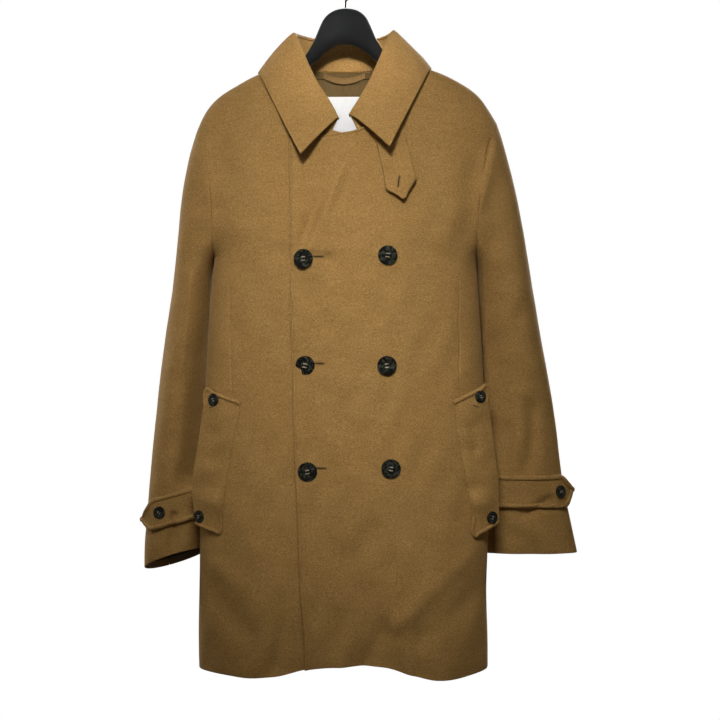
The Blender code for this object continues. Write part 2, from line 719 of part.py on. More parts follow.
def neck_point(turn):
    """The neck seam: turn is 0 behind, +-90 at the shoulders, +-180 in front."""
    x = NECK_HALF * sin(radians(turn))
    front = abs(turn) > 90
    z = neckline_z(x, front)
    at = turn_at(x, z, front)
    return body_point(at, z), body_normal(at, z)


def fold_point(turn):
    return np.array([between(FOLD_ROWS, turn, k) for k in (1, 2, 3)])


def collar_edge(turn):
    """Free edge of the collar, over the cloth below it."""
    x, z, lift = (between(COLLAR_EDGE_ROWS, turn, k) for k in (1, 2, 3))
    z = min(z, shoulder_z(x) - 0.01)
    return on_body(x, z, lift + TRIM, abs(turn) > 90)[0]


def collar_frame(turn):
    """At the fold, and square to it: up the stand, out from the stand, and down the leaf."""
    fold, seam = fold_point(turn), neck_point(turn)[0]
    along = unit(fold_point(min(turn + 2, 178)) - fold_point(max(turn - 2, -178)))
    leaf = collar_edge(turn) - fold
    up = unit(fold - seam - along * np.dot(fold - seam, along))
    leaf = unit(leaf - along * np.dot(leaf, along))
    return up, unit(leaf - up * np.dot(leaf, up)), leaf


def stand_foot(turn, top):
    """The stand's lower edge beside the neck seam, and the way into the opening from the seam."""
    seam, normal = neck_point(turn)
    along = unit(neck_point(turn + 0.5)[0] - neck_point(turn - 0.5)[0])
    inward = unit(np.cross(normal, along))
    if np.dot(inward, top - seam) < 0:
        inward = -inward
    return seam + inward * FOOT_GAP, inward


def collar_turns(step):
    """Places round the collar, among them those where the panels' columns meet the neck seam."""
    return [-178] + list(np.arange(-180 + step, 180, step)) + [178]


def make_collar():
    collar_stand(collar_turns(90 / NECK_STEPS))
    collar_fall(collar_turns(FALL_STEP))


def collar_stand(turns):
    shares = np.linspace(0, 1, 4)
    grid = np.zeros((len(shares), len(turns), 3))
    inwards, outs = [], []
    for j, turn in enumerate(turns):
        up, out, _ = collar_frame(turn)
        top = fold_point(turn) + out * STAND_IN - up * (ROLL + STAND_GAP)
        past = max(abs(turn) - STAND_SLANT[0], 0.0)
        foot, inward = stand_foot(turn - np.sign(turn) * past * STAND_SLANT[1], top)
        inwards.append(inward)
        outs.append(out)
        for i, share in enumerate(shares):
            grid[i, j] = blend(foot, top, share)
    normals = grid_normals(grid)
    if normals[1, len(turns) // 2][1] < 0:
        normals = -normals
    normals[-1] = outs
    for j, inward in enumerate(inwards):
        normals[0, j] = unit(normals[0, j] - inward * max(np.dot(normals[0, j], inward), 0.0))
    wall("collar_stand", grid, normals, CLOTH, materials["wool"])


def leaf_line(turn):
    """Points from the seam with the stand, over the roll and down the leaf to its edge."""
    up, out, leaf = collar_frame(turn)
    start, end = fold_point(turn) - up * ROLL, collar_edge(turn)
    last = atan2(np.dot(leaf, out), np.dot(leaf, up))
    points = []
    for share in ROLL_SHARES:
        angle = last * share
        points.append(start + out * ROLL * (1 - cos(angle)) + up * ROLL * sin(angle))
    bulge = unit(up - leaf * np.dot(up, leaf))
    full = LEAF_BULGE + LATCH_ROOM * fade(turn, 100, 140)
    from_roll = points[-1]
    for t in LEAF_SHARES:
        points.append(blend(from_roll, end, t) + bulge * full * 4 * t * (1 - t))
    return points


def collar_fall(turns):
    grid = np.array([leaf_line(turn) for turn in turns]).transpose(1, 0, 2)
    normals = grid_normals(grid)
    if normals[6, len(turns) // 2][1] < 0:
        normals = -normals
    normals[0] = [-collar_frame(turn)[1] for turn in turns]
    wall("collar_fall", grid, normals, TRIM, materials["wool"])


# ---------------------------------------------------------------- pieces on the panels

def throat_latch():
    left_x, right_x, top_z = LATCH_TOP
    low_left, low_right, left_z, right_z, point_x, point_z = LATCH_LOW
    places = np.linspace(0, 1, 7)
    shares = np.linspace(0, 1, 10)
    grid = np.zeros((len(shares), len(places), 3))
    normals = np.zeros_like(grid)
    for j, p in enumerate(places):
        top = np.array((blend(left_x, right_x, p), top_z))
        if p < 0.5:
            low = blend(np.array((low_left, left_z)), np.array((point_x, point_z)), 2 * p)
        else:
            low = blend(np.array((point_x, point_z)), np.array((low_right, right_z)), 2 * p - 1)
        for i, share in enumerate(shares):
            x, z = blend(top, low, share)
            lift = 1.0 + TRIM + LATCH_STAND * fade(share, 0.25, 1.0)
            grid[i, j], normals[i, j] = on_body(x, z, lift)
    wall("throat_latch", grid, normals, TRIM, materials["wool"])


def welt_point(side, down, across):
    """A point on the upper face of a pocket welt."""
    rows = [(k / 4,) + row for k, row in enumerate(WELT_ROWS[side])]
    inner_x, inner_z, outer_x, outer_y, outer_z = (between(rows, down, k) for k in range(1, 6))
    sewn = on_body(inner_x, inner_z, WELT_LIFT + WELT_EDGE)[0]
    free = np.array((outer_x, outer_y, outer_z))
    point = blend(sewn, free, across)
    point[1] -= WELT_BOW * sin(pi * across)
    return point


def welt_frame(side, down, across):
    step = 0.02
    along = welt_point(side, down, across + step) - welt_point(side, down, across - step)
    low = welt_point(side, min(down + step, 1), across) - welt_point(side, max(down - step, 0), across)
    normal = unit(np.cross(along, low))
    return welt_point(side, down, across), normal if normal[1] < 0 else -normal


def pocket_welt(side):
    downs, acrosses = np.linspace(0, 1, 9), np.linspace(0, 1, 6)
    frames = [[welt_frame(side, d, a) for a in acrosses] for d in downs]
    grid = np.array([[frame[0] for frame in row] for row in frames])
    normals = np.array([[frame[1] for frame in row] for row in frames])
    thickness = np.array([[[blend(WELT_EDGE, TRIM, fade(a, 0, 0.3))] for a in acrosses] for _ in downs])
    wall(f"pocket_welt_{side}", grid, normals, thickness, materials["wool"])


def strap_frame(side, along, across, lift):
    """A point over the sleeve on a cuff strap; across is -1 to 1."""
    seam_z, point_z, u_point, taper, rise = STRAP_ROWS[side]
    narrow = 1 - 0.94 * min(max((along - 1 + taper) / taper, 0.0), 1.0)
    z = blend(seam_z, point_z, along) + across * narrow * STRAP_WIDTH / 2
    u = blend(STRAP_START, u_point, along)
    point, normal = sleeve_frame(side, u, z)
    return point + normal * (lift + rise * fade(along, 1 - taper, 1.0)), normal


def cuff_strap(side):
    taper = STRAP_ROWS[side][3]
    alongs = list(np.linspace(0, 1 - taper, 9)) + [1 - taper / 2, 1.0]
    acrosses = np.linspace(-1, 1, 5)
    frames = [[strap_frame(side, a, c, 1.0 + TRIM) for c in acrosses] for a in alongs]
    grid = np.array([[frame[0] for frame in row] for row in frames])
    normals = np.array([[frame[1] for frame in row] for row in frames])
    wall(f"cuff_strap_{side}", grid, normals, TRIM, materials["wool"])


def button(name, place, normal, diameter):
    """A turned button with a raised rim, its back on the cloth."""
    radius, height = diameter / 2 * MM, diameter * BUTTON_HEIGHT * MM
    mesh = bpy.data.meshes.new(name)
    points = [(x * radius, 0, z * height) for x, z in BUTTON_PROFILE]
    mesh.from_pydata(points, [(k, k + 1) for k in range(len(points) - 1)], [])
    mesh.materials.append(materials["horn"])
    made = bpy.data.objects.new(name, mesh)
    turned = made.modifiers.new("turned", "SCREW")
    turned.steps = turned.render_steps = BUTTON_SIDES
    turned.use_merge_vertices = True
    turned.merge_threshold = 0.00005
    turned.use_normal_calculate = True
    z_axis = unit(normal)
    x_axis = unit(np.cross((0, 0, 1), z_axis))
    y_axis = np.cross(z_axis, x_axis)
    where = (place + z_axis * SEAM) * MM
    rows = [(x_axis[k], y_axis[k], z_axis[k], where[k]) for k in range(3)]
    made.matrix_world = Matrix(rows + [(0, 0, 0, 1)])
    coat.objects.link(made)


def button_seat(x, z):
    """Where a large button lies: square to the cloth round it, and clear of its highest place."""
    radius, angles = BUTTON_LARGE / 2, range(12)
    around = [on_body(x + radius * cos(k), z + radius * sin(k), 0) for k in angles]
    normal = unit(sum(frame[1] for frame in around))
    place = on_body(x, z, 0)[0]
    rise = max(float(np.dot(frame[0] - place, normal)) for frame in around)
    place = place + normal * max(rise, 0.2)
    place[1] -= SEAM / 2
    return place, normal


def make_trim():
    throat_latch()
    for side in SIDES:
        pocket_welt(side)
        cuff_strap(side)
        place, normal = strap_frame(side, CUFF_BUTTONS[side], 0.0, 1.0 + TRIM)
        button(f"cuff_button_{side}", place, normal, BUTTON_SMALL)
    for name, x, z in FRONT_BUTTONS:
        place, normal = button_seat(x, z)
        button(f"front_button_{name}", place, normal, BUTTON_LARGE)
    for name, side, down, across in POCKET_BUTTONS:
        place, normal = welt_frame(side, down, across)
        button(f"pocket_button_{name}", place, normal, BUTTON_SMALL)


# ---------------------------------------------------------------- inside the neck

def inside_back(x, z, depth):
    """A point inside the back, and the normal that points forward into the neck."""
    point, normal = on_body(x, z, -depth, False)
    return point, -normal


def neck_lining():
    top_half, low_half, below_seam, low_z = NECK_LINING
    shares, levels = np.linspace(-1, 1, 13), np.linspace(0, 1, 8)
    grid = np.zeros((len(levels), len(shares), 3))
    normals = np.zeros_like(grid)
    for j, share in enumerate(shares):
        for i, level in enumerate(levels):
            x = share * blend(top_half, low_half, fade(level, 0, 0.5))
            z = blend(neckline_z(x, False) - below_seam, low_z, level)
            grid[i, j], normals[i, j] = inside_back(x, z, CLOTH + LINING_GAP + LINING)
    wall("neck_lining", grid, normals, LINING, materials["lining"])


def neck_label():
    middle, width, top, height, thick = LABEL
    grid = np.zeros((5, 7, 3))
    normals = np.zeros_like(grid)
    for i in range(5):
        for j in range(7):
            x, z = middle + width * (j / 6 - 0.5), top - height * i / 4
            grid[i, j], normals[i, j] = inside_back(x, z, CLOTH + LINING_GAP + 2 * LINING + SEAM)
    wall("neck_label", grid, normals, thick, materials["label"])


def hanger_loop():
    left, right, end_z, sag, width, thick = LOOP
    places = np.linspace(0, 1, 15)
    grid = np.zeros((3, len(places), 3))
    normals = np.zeros_like(grid)
    for j, p in enumerate(places):
        x = blend(left, right, p)
        z = end_z - sag * sin(pi * p)
        depth = CLOTH + LINING_GAP + LINING + SEAM + thick + LOOP_ROOM * sin(pi * p)
        for i in range(3):
            grid[i, j], normals[i, j] = inside_back(x, z - width * (i / 2 - 0.5), depth)
    wall("hanger_loop", grid, normals, thick, materials["lining"])


# ---------------------------------------------------------------- hanger

def squared(value):
    """Pushes a sine or cosine outward, for a section with flatter sides."""
    return abs(value) ** HANGER_POWER * (1 if value >= 0 else -1)


def hanger_body():
    """Round-edged sections from one end of the hanger to the other."""
    xs = [row[0] for row in HANGER_ROWS]
    places = [-x for x in reversed(xs[1:])] + xs
    vertices, faces = [], []
    for x in places:
        top, bottom, deep = (between(HANGER_ROWS, abs(x), k) for k in (1, 2, 3))
        middle, half = (top + bottom) / 2 + HANGER_TILT * x, (top - bottom) / 2
        for k in range(HANGER_SIDES):
            angle = 2 * pi * k / HANGER_SIDES
            vertices.append((x, deep * squared(cos(angle)), middle + half * squared(sin(angle))))
    for i in range(len(places) - 1):
        for k in range(HANGER_SIDES):
            a, b = i * HANGER_SIDES + k, i * HANGER_SIDES + (k + 1) % HANGER_SIDES
            faces.append((a, b, b + HANGER_SIDES, a + HANGER_SIDES))
    faces.append(tuple(reversed(range(HANGER_SIDES))))
    faces.append(tuple(range(len(vertices) - HANGER_SIDES, len(vertices))))
    add_object("hanger_body", vertices, faces, materials["black_plastic"])


def hanger_hook():
    """A wire that rises from the dome and bends round the rod."""
    radius = HOOK_INSIDE + HOOK_WIRE
    middle_z = -HOOK_INSIDE
    path = [(0.0, HANGER_ROWS[0][1] + SEAM)] + list(HOOK_NECK)
    first, step, count = HOOK_BEND
    for k in range(count):
        angle = radians(first + k * step)
        path.append((radius * cos(angle), middle_z + radius * sin(angle)))
    curve = bpy.data.curves.new("hanger_hook", "CURVE")
    curve.dimensions = "3D"
    spline = curve.splines.new("POLY")
    spline.points.add(len(path) - 1)
    for point, (x, z) in zip(spline.points, path):
        point.co = (x * MM, 0, z * MM, 1)
    curve.bevel_depth = HOOK_WIRE * MM
    curve.bevel_resolution = 2
    curve.use_fill_caps = True
    curve.materials.append(materials["steel"])
    coat.objects.link(bpy.data.objects.new("hanger_hook", curve))


# ---------------------------------------------------------------- build

for old in list(bpy.data.objects):
    bpy.data.objects.remove(old, do_unlink=True)

coat = bpy.data.collections.new("trench_coat_on_hanger")
bpy.context.scene.collection.children.link(coat)
materials = make_materials()

make_body()
make_sleeves()
make_collar()
make_trim()
neck_lining()
neck_label()
hanger_loop()
hanger_body()
hanger_hook()
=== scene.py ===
# %% [markdown]
# This lesson dresses a trench-style, double-breasted coat of camel wool melton that hangs on a
# black moulded hanger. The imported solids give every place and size. The cloth here is a finer copy
# of them, with rounded edges, soft folds, seams and a napped surface.

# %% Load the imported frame
import json
import math

import bmesh
import bpy
import numpy as np
from mathutils import Matrix, Vector
from mathutils.bvhtree import BVHTree


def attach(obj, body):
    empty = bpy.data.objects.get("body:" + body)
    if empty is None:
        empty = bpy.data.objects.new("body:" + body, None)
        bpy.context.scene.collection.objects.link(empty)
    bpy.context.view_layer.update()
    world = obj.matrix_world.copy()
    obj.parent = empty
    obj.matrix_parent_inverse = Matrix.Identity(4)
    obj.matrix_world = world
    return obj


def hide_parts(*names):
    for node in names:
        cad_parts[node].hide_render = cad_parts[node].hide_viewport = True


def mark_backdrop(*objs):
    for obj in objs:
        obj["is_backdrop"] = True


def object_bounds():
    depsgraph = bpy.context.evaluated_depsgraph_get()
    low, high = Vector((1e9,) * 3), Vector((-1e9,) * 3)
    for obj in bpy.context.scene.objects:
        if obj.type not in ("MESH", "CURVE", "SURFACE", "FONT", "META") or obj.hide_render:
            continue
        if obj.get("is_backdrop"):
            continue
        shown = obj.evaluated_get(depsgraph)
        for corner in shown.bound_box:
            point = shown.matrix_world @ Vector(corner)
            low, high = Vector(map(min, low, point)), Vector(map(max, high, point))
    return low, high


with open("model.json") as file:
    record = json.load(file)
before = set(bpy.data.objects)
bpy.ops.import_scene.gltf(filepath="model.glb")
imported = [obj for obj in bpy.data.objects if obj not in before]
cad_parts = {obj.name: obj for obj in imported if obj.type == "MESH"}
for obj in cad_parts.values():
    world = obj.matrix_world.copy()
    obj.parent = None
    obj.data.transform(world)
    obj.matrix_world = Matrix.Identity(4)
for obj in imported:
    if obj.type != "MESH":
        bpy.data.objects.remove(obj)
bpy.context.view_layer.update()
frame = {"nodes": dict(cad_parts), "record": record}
nodes = frame["nodes"]
scene = bpy.context.scene

# %% [markdown]
# The picture was taken from straight in front, about two metres away, with the lens level with the
# coat's waist. A camera with no shift and that distance gives the same perspective.

# %% Camera
EYE = Vector((0.021, -2.2, -0.5684))
HALF_VIEW = 0.522       # half of the picture's width at the hanger, in metres

camera = bpy.data.objects.new("camera", bpy.data.cameras.new("camera"))
camera.location = EYE
camera.rotation_euler = (math.pi / 2, 0, 0)
camera.data.angle = 2 * math.atan(HALF_VIEW / -EYE.y)
scene.collection.objects.link(camera)
scene.camera = camera
print("lens, mm:", round(camera.data.lens, 1))

# %% [markdown]
# The light is that of a small photo studio: two soft lamps close to the collar, left and right, so
# that the coat gets darker towards its hem and its sleeves, three narrower ones in front for the
# chest, the body and the inside of the neck, one above, one beside a sleeve, and a warm dim room that
# fills the shadows. Two more behind the coat only serve its back.

# %% Lights
ROOM_COLOUR, ROOM_STRENGTH = (1.0, 0.9, 0.72, 1), 0.09


def lamp(name, place, target, size, watts, spread, glossy):
    light = bpy.data.objects.new(name, bpy.data.lights.new(name, "AREA"))
    light.data.shape = "DISK"
    light.data.size = size
    light.data.energy = watts
    light.data.spread = math.radians(spread)
    light.location = place
    light.visible_glossy = glossy
    light.rotation_euler = (Vector(target) - Vector(place)).to_track_quat("-Z", "Y").to_euler()
    scene.collection.objects.link(light)


LAMPS = (
    # name, place, target, size, watts, spread in degrees, whether it shines back from gloss
    ("left lamp", (-0.6, -0.7, 0.5), (0.0, 0.0, -0.3), 0.25, 0.16, 90, True),
    ("right lamp", (0.6, -0.7, 0.5), (0.0, 0.0, -0.3), 0.25, 0.12, 90, True),
    ("top lamp", (0.0, -0.5, 0.8), (0.0, 0.0, -0.3), 0.4, 0.10, 90, False),
    ("chest lamp", (-0.1, -1.5, 0.33), (0.0, 0.0, -0.40), 0.3, 1.2, 42, False),
    ("body lamp", (0.1, -1.5, 0.5), (0.07, 0.0, -0.86), 0.3, 0.21, 22, False),
    ("neck lamp", (0.0, -1.4, 0.15), (0.0, 0.0, -0.105), 0.1, 0.09, 12, False),
    ("sleeve lamp", (-1.6, -0.9, 0.1), (-0.32, 0.0, -0.58), 0.3, 0.09, 25, False),
    ("rear lamp", (0.9, 1.9, 0.5), (0.0, 0.0, -0.5), 1.2, 9.0, 60, True),
    ("rear fill", (-1.6, 1.3, 0.2), (0.0, 0.0, -0.5), 1.2, 4.0, 60, True),
)
for row in LAMPS:
    lamp(*row)

world = bpy.data.worlds.new("room")
world.use_nodes = True
world.node_tree.nodes["Background"].inputs["Color"].default_value = ROOM_COLOUR
world.node_tree.nodes["Background"].inputs["Strength"].default_value = ROOM_STRENGTH
scene.world = world
scene.view_settings.view_transform = "Standard"

# %% [markdown]
# Colours are written as sRGB hex values, as a colour picker shows them, and Blender's shaders want
# linear light. One function turns them. A second one adds a shader node with its settings and links,
# so that a material reads as a list of steps. A third one makes the materials whose colour and bump
# follow one noise.

# %% Colour and node helpers
def linear(hex_colour):
    parts = [int(hex_colour[k:k + 2], 16) / 255 for k in (0, 2, 4)]
    return [c / 12.92 if c <= 0.04045 else ((c + 0.055) / 1.055) ** 2.4 for c in parts] + [1.0]


def add_node(material, kind, settings=None, values=None, links=None):
    """A shader node: settings are its own properties, values and links go to its sockets."""
    tree = material.node_tree
    made = tree.nodes.new(kind)
    for key, value in (settings or {}).items():
        setattr(made, key, value)
    for key, value in (values or {}).items():
        made.inputs[key].default_value = value
    for key, socket in (links or {}).items():
        tree.links.new(socket, made.inputs[key])
    return made


def new_material(name, roughness, metallic=0.0, **shader_values):
    """An empty material and its shader, with constants on the shader's own sockets."""
    material = bpy.data.materials.new(name)
    material.use_nodes = True
    shader = material.node_tree.nodes["Principled BSDF"]
    shader.inputs["Roughness"].default_value = roughness
    shader.inputs["Metallic"].default_value = metallic
    for key, value in shader_values.items():
        shader.inputs[key.replace("_", " ")].default_value = value
    return material, shader


def add_bump(material, shader, height, strength, distance):
    """Lets a noise raise the surface, by this distance in metres at full strength."""
    bump = add_node(material, "ShaderNodeBump", values={"Strength": strength, "Distance": distance},
                    links={"Height": height})
    material.node_tree.links.new(bump.outputs["Normal"], shader.inputs["Normal"])


def noise_material(name, surface, colours, span, noise, drawn=None, bump=None):
    """surface holds the shader's constants, colours the noise's low and high colour, span where on
    the noise they lie, noise its settings, drawn a stretch, and bump its strength and distance."""
    material, shader = new_material(name, **surface)
    place = add_node(material, "ShaderNodeTexCoord").outputs["Object"]
    if drawn:
        place = add_node(material, "ShaderNodeMapping", values={"Scale": drawn},
                         links={"Vector": place}).outputs["Vector"]
    height = add_node(material, "ShaderNodeTexNoise", values=noise,
                      links={"Vector": place}).outputs["Fac"]
    ramp = add_node(material, "ShaderNodeValToRGB", links={"Fac": height})
    for element, position, colour in zip(ramp.color_ramp.elements, span, colours):
        element.position, element.color = position, colour
    material.node_tree.links.new(ramp.outputs["Color"], shader.inputs["Base Color"])
    if bump:
        add_bump(material, shader, height, *bump)
    return material


def shades(hex_colour, contrast):
    """A darker and a lighter shade of a colour."""
    base = linear(hex_colour)[:3]
    return ([c * (1 - contrast) for c in base] + [1.0],
            [min(c * (1 + contrast), 1.0) for c in base] + [1.0])


# %% [markdown]
# Backdrop and floor are plain and pale. Both are seen but don't shine on the coat, so that the
# lamps alone set its shading.

# %% Backdrop and floor
FLOOR_Z, FLOOR_RADIUS = -1.55, 1.75
MIDDLE_Z, BACKDROP_RADIUS = -0.5, 7.0       # the backdrop is a sphere round the coat's middle

bpy.ops.object.select_all(action="DESELECT")
bpy.ops.mesh.primitive_uv_sphere_add(segments=48, ring_count=24, radius=BACKDROP_RADIUS,
                                     location=(0, 0, MIDDLE_Z))
backdrop = bpy.context.object
backdrop.name = "backdrop"
backdrop.visible_shadow = False
paper, paper_shader = new_material("white seamless paper", 1.0)
paper_shader.inputs["Base Color"].default_value = linear("000000")
paper_shader.inputs["Emission Color"].default_value = linear("ffffff")
paper_shader.inputs["Emission Strength"].default_value = 1.0
backdrop.data.materials.append(paper)

bpy.ops.mesh.primitive_circle_add(vertices=96, radius=FLOOR_RADIUS, fill_type="NGON",
                                  location=(0, 0, FLOOR_Z))
floor = bpy.context.object
floor.name = "floor"
floor_paint, floor_shader = new_material("pale studio floor", 0.9)
floor_shader.inputs["Base Color"].default_value = linear("d8d7d4")
floor_shader.inputs["Emission Color"].default_value = linear("f4f3f1")
floor_shader.inputs["Emission Strength"].default_value = 0.65
floor.data.materials.append(floor_paint)
for surface in (backdrop, floor):
    surface.visible_diffuse = surface.visible_glossy = False
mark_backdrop(backdrop, floor)
print("stage:", [surface.name for surface in (backdrop, floor)])

# %% [markdown]
# Melton is a heavy wool cloth that is fulled and raised until the weave disappears under a short
# nap. To the eye it is matt, with a soft light rim where the surface turns away, and its dyed
# fibres differ a little in tone, drawn out along the weft in short streaks.

# %% Wool melton
WOOL_DARK, WOOL_MID, WOOL_LIGHT = "8a683a", "9b7845", "ad8954"
STREAK_MM = 0.8         # height of the streaks; the real fibres are finer than the render shows
STREAK_LENGTH = 3.0     # their length, as a share of the height
NAP_MM = 0.7            # width of the tufts; coarser than the real nap for the same reason
CLOUDS = 160.0          # clouds a metre, 6 mm wide, in which the dye has taken unevenly
CLOUD_WEIGHT = 0.16
DARK_AT, MID_AT, LIGHT_AT = 0.44, 0.58, 0.72    # where on the noise the three shades lie
NAP_BUMP = (0.4, 0.0005)
SHEEN_TINT = "e8cfa2"


def wool_material():
    material, shader = new_material("camel wool melton", 0.92, Sheen_Weight=0.18,
                                    Sheen_Roughness=0.4, Specular_IOR_Level=0.15)
    shader.inputs["Sheen Tint"].default_value = linear(SHEEN_TINT)
    place = add_node(material, "ShaderNodeTexCoord").outputs["Object"]
    drawn = add_node(material, "ShaderNodeMapping",
                     values={"Scale": (1 / STREAK_LENGTH, 1 / STREAK_LENGTH, 1.0)},
                     links={"Vector": place}).outputs["Vector"]
    streaks = add_node(material, "ShaderNodeTexNoise",
                       values={"Scale": 1000 / STREAK_MM, "Detail": 2.0, "Roughness": 0.6},
                       links={"Vector": drawn}).outputs["Fac"]
    cloudy = add_node(material, "ShaderNodeTexNoise", values={"Scale": CLOUDS, "Detail": 3.0},
                      links={"Vector": drawn}).outputs["Fac"]
    nap = add_node(material, "ShaderNodeTexNoise",
                   values={"Scale": 1000 / NAP_MM, "Detail": 2.0, "Roughness": 0.6},
                   links={"Vector": place}).outputs["Fac"]
    tone = add_node(material, "ShaderNodeMath", {"operation": "MULTIPLY_ADD"}, {1: CLOUD_WEIGHT},
                    {0: cloudy, 2: streaks}).outputs["Value"]
    ramp = add_node(material, "ShaderNodeValToRGB", links={"Fac": tone})
    low, high = ramp.color_ramp.elements
    low.position, low.color = DARK_AT, linear(WOOL_DARK)
    high.position, high.color = LIGHT_AT, linear(WOOL_LIGHT)
    ramp.color_ramp.elements.new(MID_AT).color = linear(WOOL_MID)
    material.node_tree.links.new(ramp.outputs["Color"], shader.inputs["Base Color"])
    add_bump(material, shader, nap, *NAP_BUMP)
    return material


wool = wool_material()
print("wool nodes:", len(wool.node_tree.nodes))

# %% [markdown]
# The lining is a satin of viscose in an olive brown. Its long floats lie along the warp, so it has a
# soft gloss that runs down the cloth, and it is the darkest and smoothest of the fabrics. The loop
# is cut from the same satin, painted lighter: painted light for the light that it catches. The label
# is a plain woven tape.

# %% Linings and label
SATIN_FLOATS = 900.0    # floats a metre, 1.1 mm wide; real ones are finer than the render shows
FLOAT_STRETCH = 0.05    # they are drawn out twenty times along the warp
SATIN_BUMP = (0.25, 0.0002)


def satin(name, hex_colour, roughness, contrast=0.15):
    return noise_material(name, {"roughness": roughness, "Specular_IOR_Level": 0.4},
                          shades(hex_colour, contrast), (0.3, 0.7),
                          {"Scale": SATIN_FLOATS, "Detail": 2.0},
                          drawn=(1.0, 1.0, FLOAT_STRETCH), bump=SATIN_BUMP)


lining = satin("olive brown viscose satin", "665232", 0.42)
# The loop: the lining's satin painted lighter, as painted light.
loop_satin_painted_light = satin("loop satin with painted light", "80643c", 0.5)
# The cuffs' ring is lining satin, painted near black as painted shade inside the sleeves.
cuff_lining_painted_shade = satin("cuff lining with painted shade", "26211c", 0.4)
label_tape = satin("white woven label", "e9e8e5", 0.7, 0.03)
print("satins:", [m.name for m in (lining, loop_satin_painted_light, cuff_lining_painted_shade, label_tape)])

# %% [markdown]
# Sewing thread is polyester: matt, with a fine twist that the bump hints at.

# %% Thread
TWISTS = 2600.0         # twists a metre, 0.4 mm long
THREAD_BUMP = (0.4, 0.0002)


def thread(name, hex_colour):
    return noise_material(name, {"roughness": 0.7}, shades(hex_colour, 0.2), (0.0, 1.0),
                          {"Scale": TWISTS, "Detail": 1.0}, bump=THREAD_BUMP)


button_thread = thread("beige button thread", "a9a292")
hole_thread = thread("brown buttonhole thread", "83653c")
piping = thread("dark brown neck piping", "3c2415")
# The slit: a near-black mark that is painted shade in the gap between the buttonhole's lips.
slit_painted_shade = thread("painted shade in a buttonhole slit", "2a1e0f")
print("threads:", [m.name for m in (button_thread, hole_thread, piping, slit_painted_shade)])

# %% [markdown]
# The buttons are polished buffalo horn, nearly black with grey-green veins, and so smooth that they
# mirror the lamps. The hanger is moulded polystyrene with a faint grain, and its hook is plated wire.

# %% Horn, plastic and steel
VEINS = 160.0           # veins a metre, 6 mm apart
GRAIN = 1800.0          # grains a metre, 0.6 mm wide
MARKS = 700.0           # polishing marks a metre, 1.4 mm wide
GRAIN_BUMP = (0.15, 0.0002)

horn = noise_material("polished buffalo horn", {"roughness": 0.14, "Specular_IOR_Level": 0.55},
                      (linear("0d0d0b"), linear("46493f")), (0.45, 0.75),
                      {"Scale": VEINS, "Detail": 4.0, "Distortion": 1.2})
plastic = noise_material("black moulded polystyrene", {"roughness": 0.42},
                         (linear("141515"), linear("1d1e1f")), (0.0, 1.0),
                         {"Scale": GRAIN, "Detail": 2.0}, bump=GRAIN_BUMP)
steel = noise_material("nickel-plated steel wire", {"roughness": 0.2, "metallic": 1.0},
                       (linear("b4b4b2"), linear("cfcfcc")), (0.0, 1.0),
                       {"Scale": MARKS, "Detail": 3.0})
print("hard materials:", [m.name for m in (horn, plastic, steel)])

# %% [markdown]
# Each piece of cloth starts as a copy of its solid. The copy's triangles are merged and paired into
# quads, its sharp rims are bevelled, and a subdivision surface rounds it, as a thick soft cloth
# rounds over its turned edges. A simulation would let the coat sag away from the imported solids, so
# the large folds are the solids' own, and the finer ones are laid on them further down.

# %% Cloth helpers
MERGE = 0.00002         # corners of the solids that are nearer than this are one, in metres
SHARP = math.radians(50)        # an edge that turns by more than this is a rim
PAIR_FLAT, PAIR_SHAPE = math.radians(40), math.radians(80)      # triangles that may pair into quads


def deselect():
    bpy.ops.object.select_all(action="DESELECT")


def activate(piece):
    deselect()
    piece.select_set(True)
    bpy.context.view_layer.objects.active = piece


def take(node, name):
    """A merged copy of a CAD piece, in quads, as the active object."""
    piece = bpy.data.objects.new(name, nodes[node].data.copy())
    scene.collection.objects.link(piece)
    activate(piece)
    bpy.ops.object.mode_set(mode="EDIT")
    bpy.ops.mesh.select_all(action="SELECT")
    bpy.ops.mesh.remove_doubles(threshold=MERGE)
    bpy.ops.mesh.tris_convert_to_quads(face_threshold=PAIR_FLAT, shape_threshold=PAIR_SHAPE)
    bpy.ops.object.mode_set(mode="OBJECT")
    piece.data.materials.clear()
    return piece


def apply(piece, kind, **settings):
    """Adds a modifier with these settings and applies it."""
    made = piece.modifiers.new(kind.lower(), kind)
    for key, value in settings.items():
        setattr(made, key, value)
    activate(piece)
    bpy.ops.object.modifier_apply(modifier=made.name)


def soften(piece, rim, levels, grow=0.0):
    """Rounds the rims and smooths the surface; grow closes the seams that the solids leave open."""
    apply(piece, "BEVEL", width=rim, segments=2, limit_method="ANGLE",
          angle_limit=SHARP, harden_normals=False)
    apply(piece, "SUBSURF", levels=levels, render_levels=levels)
    if grow:
        apply(piece, "DISPLACE", strength=grow, mid_level=0.0)
    piece.data.shade_smooth()


def dress(piece, material, slot, *replaced):
    """Gives a piece its material and its body, and hides the CAD nodes that it stands for; slot is not
    used.
    """
    piece.data.materials.append(material)
    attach(piece, "root")
    if replaced:
        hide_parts(*replaced)
    return piece


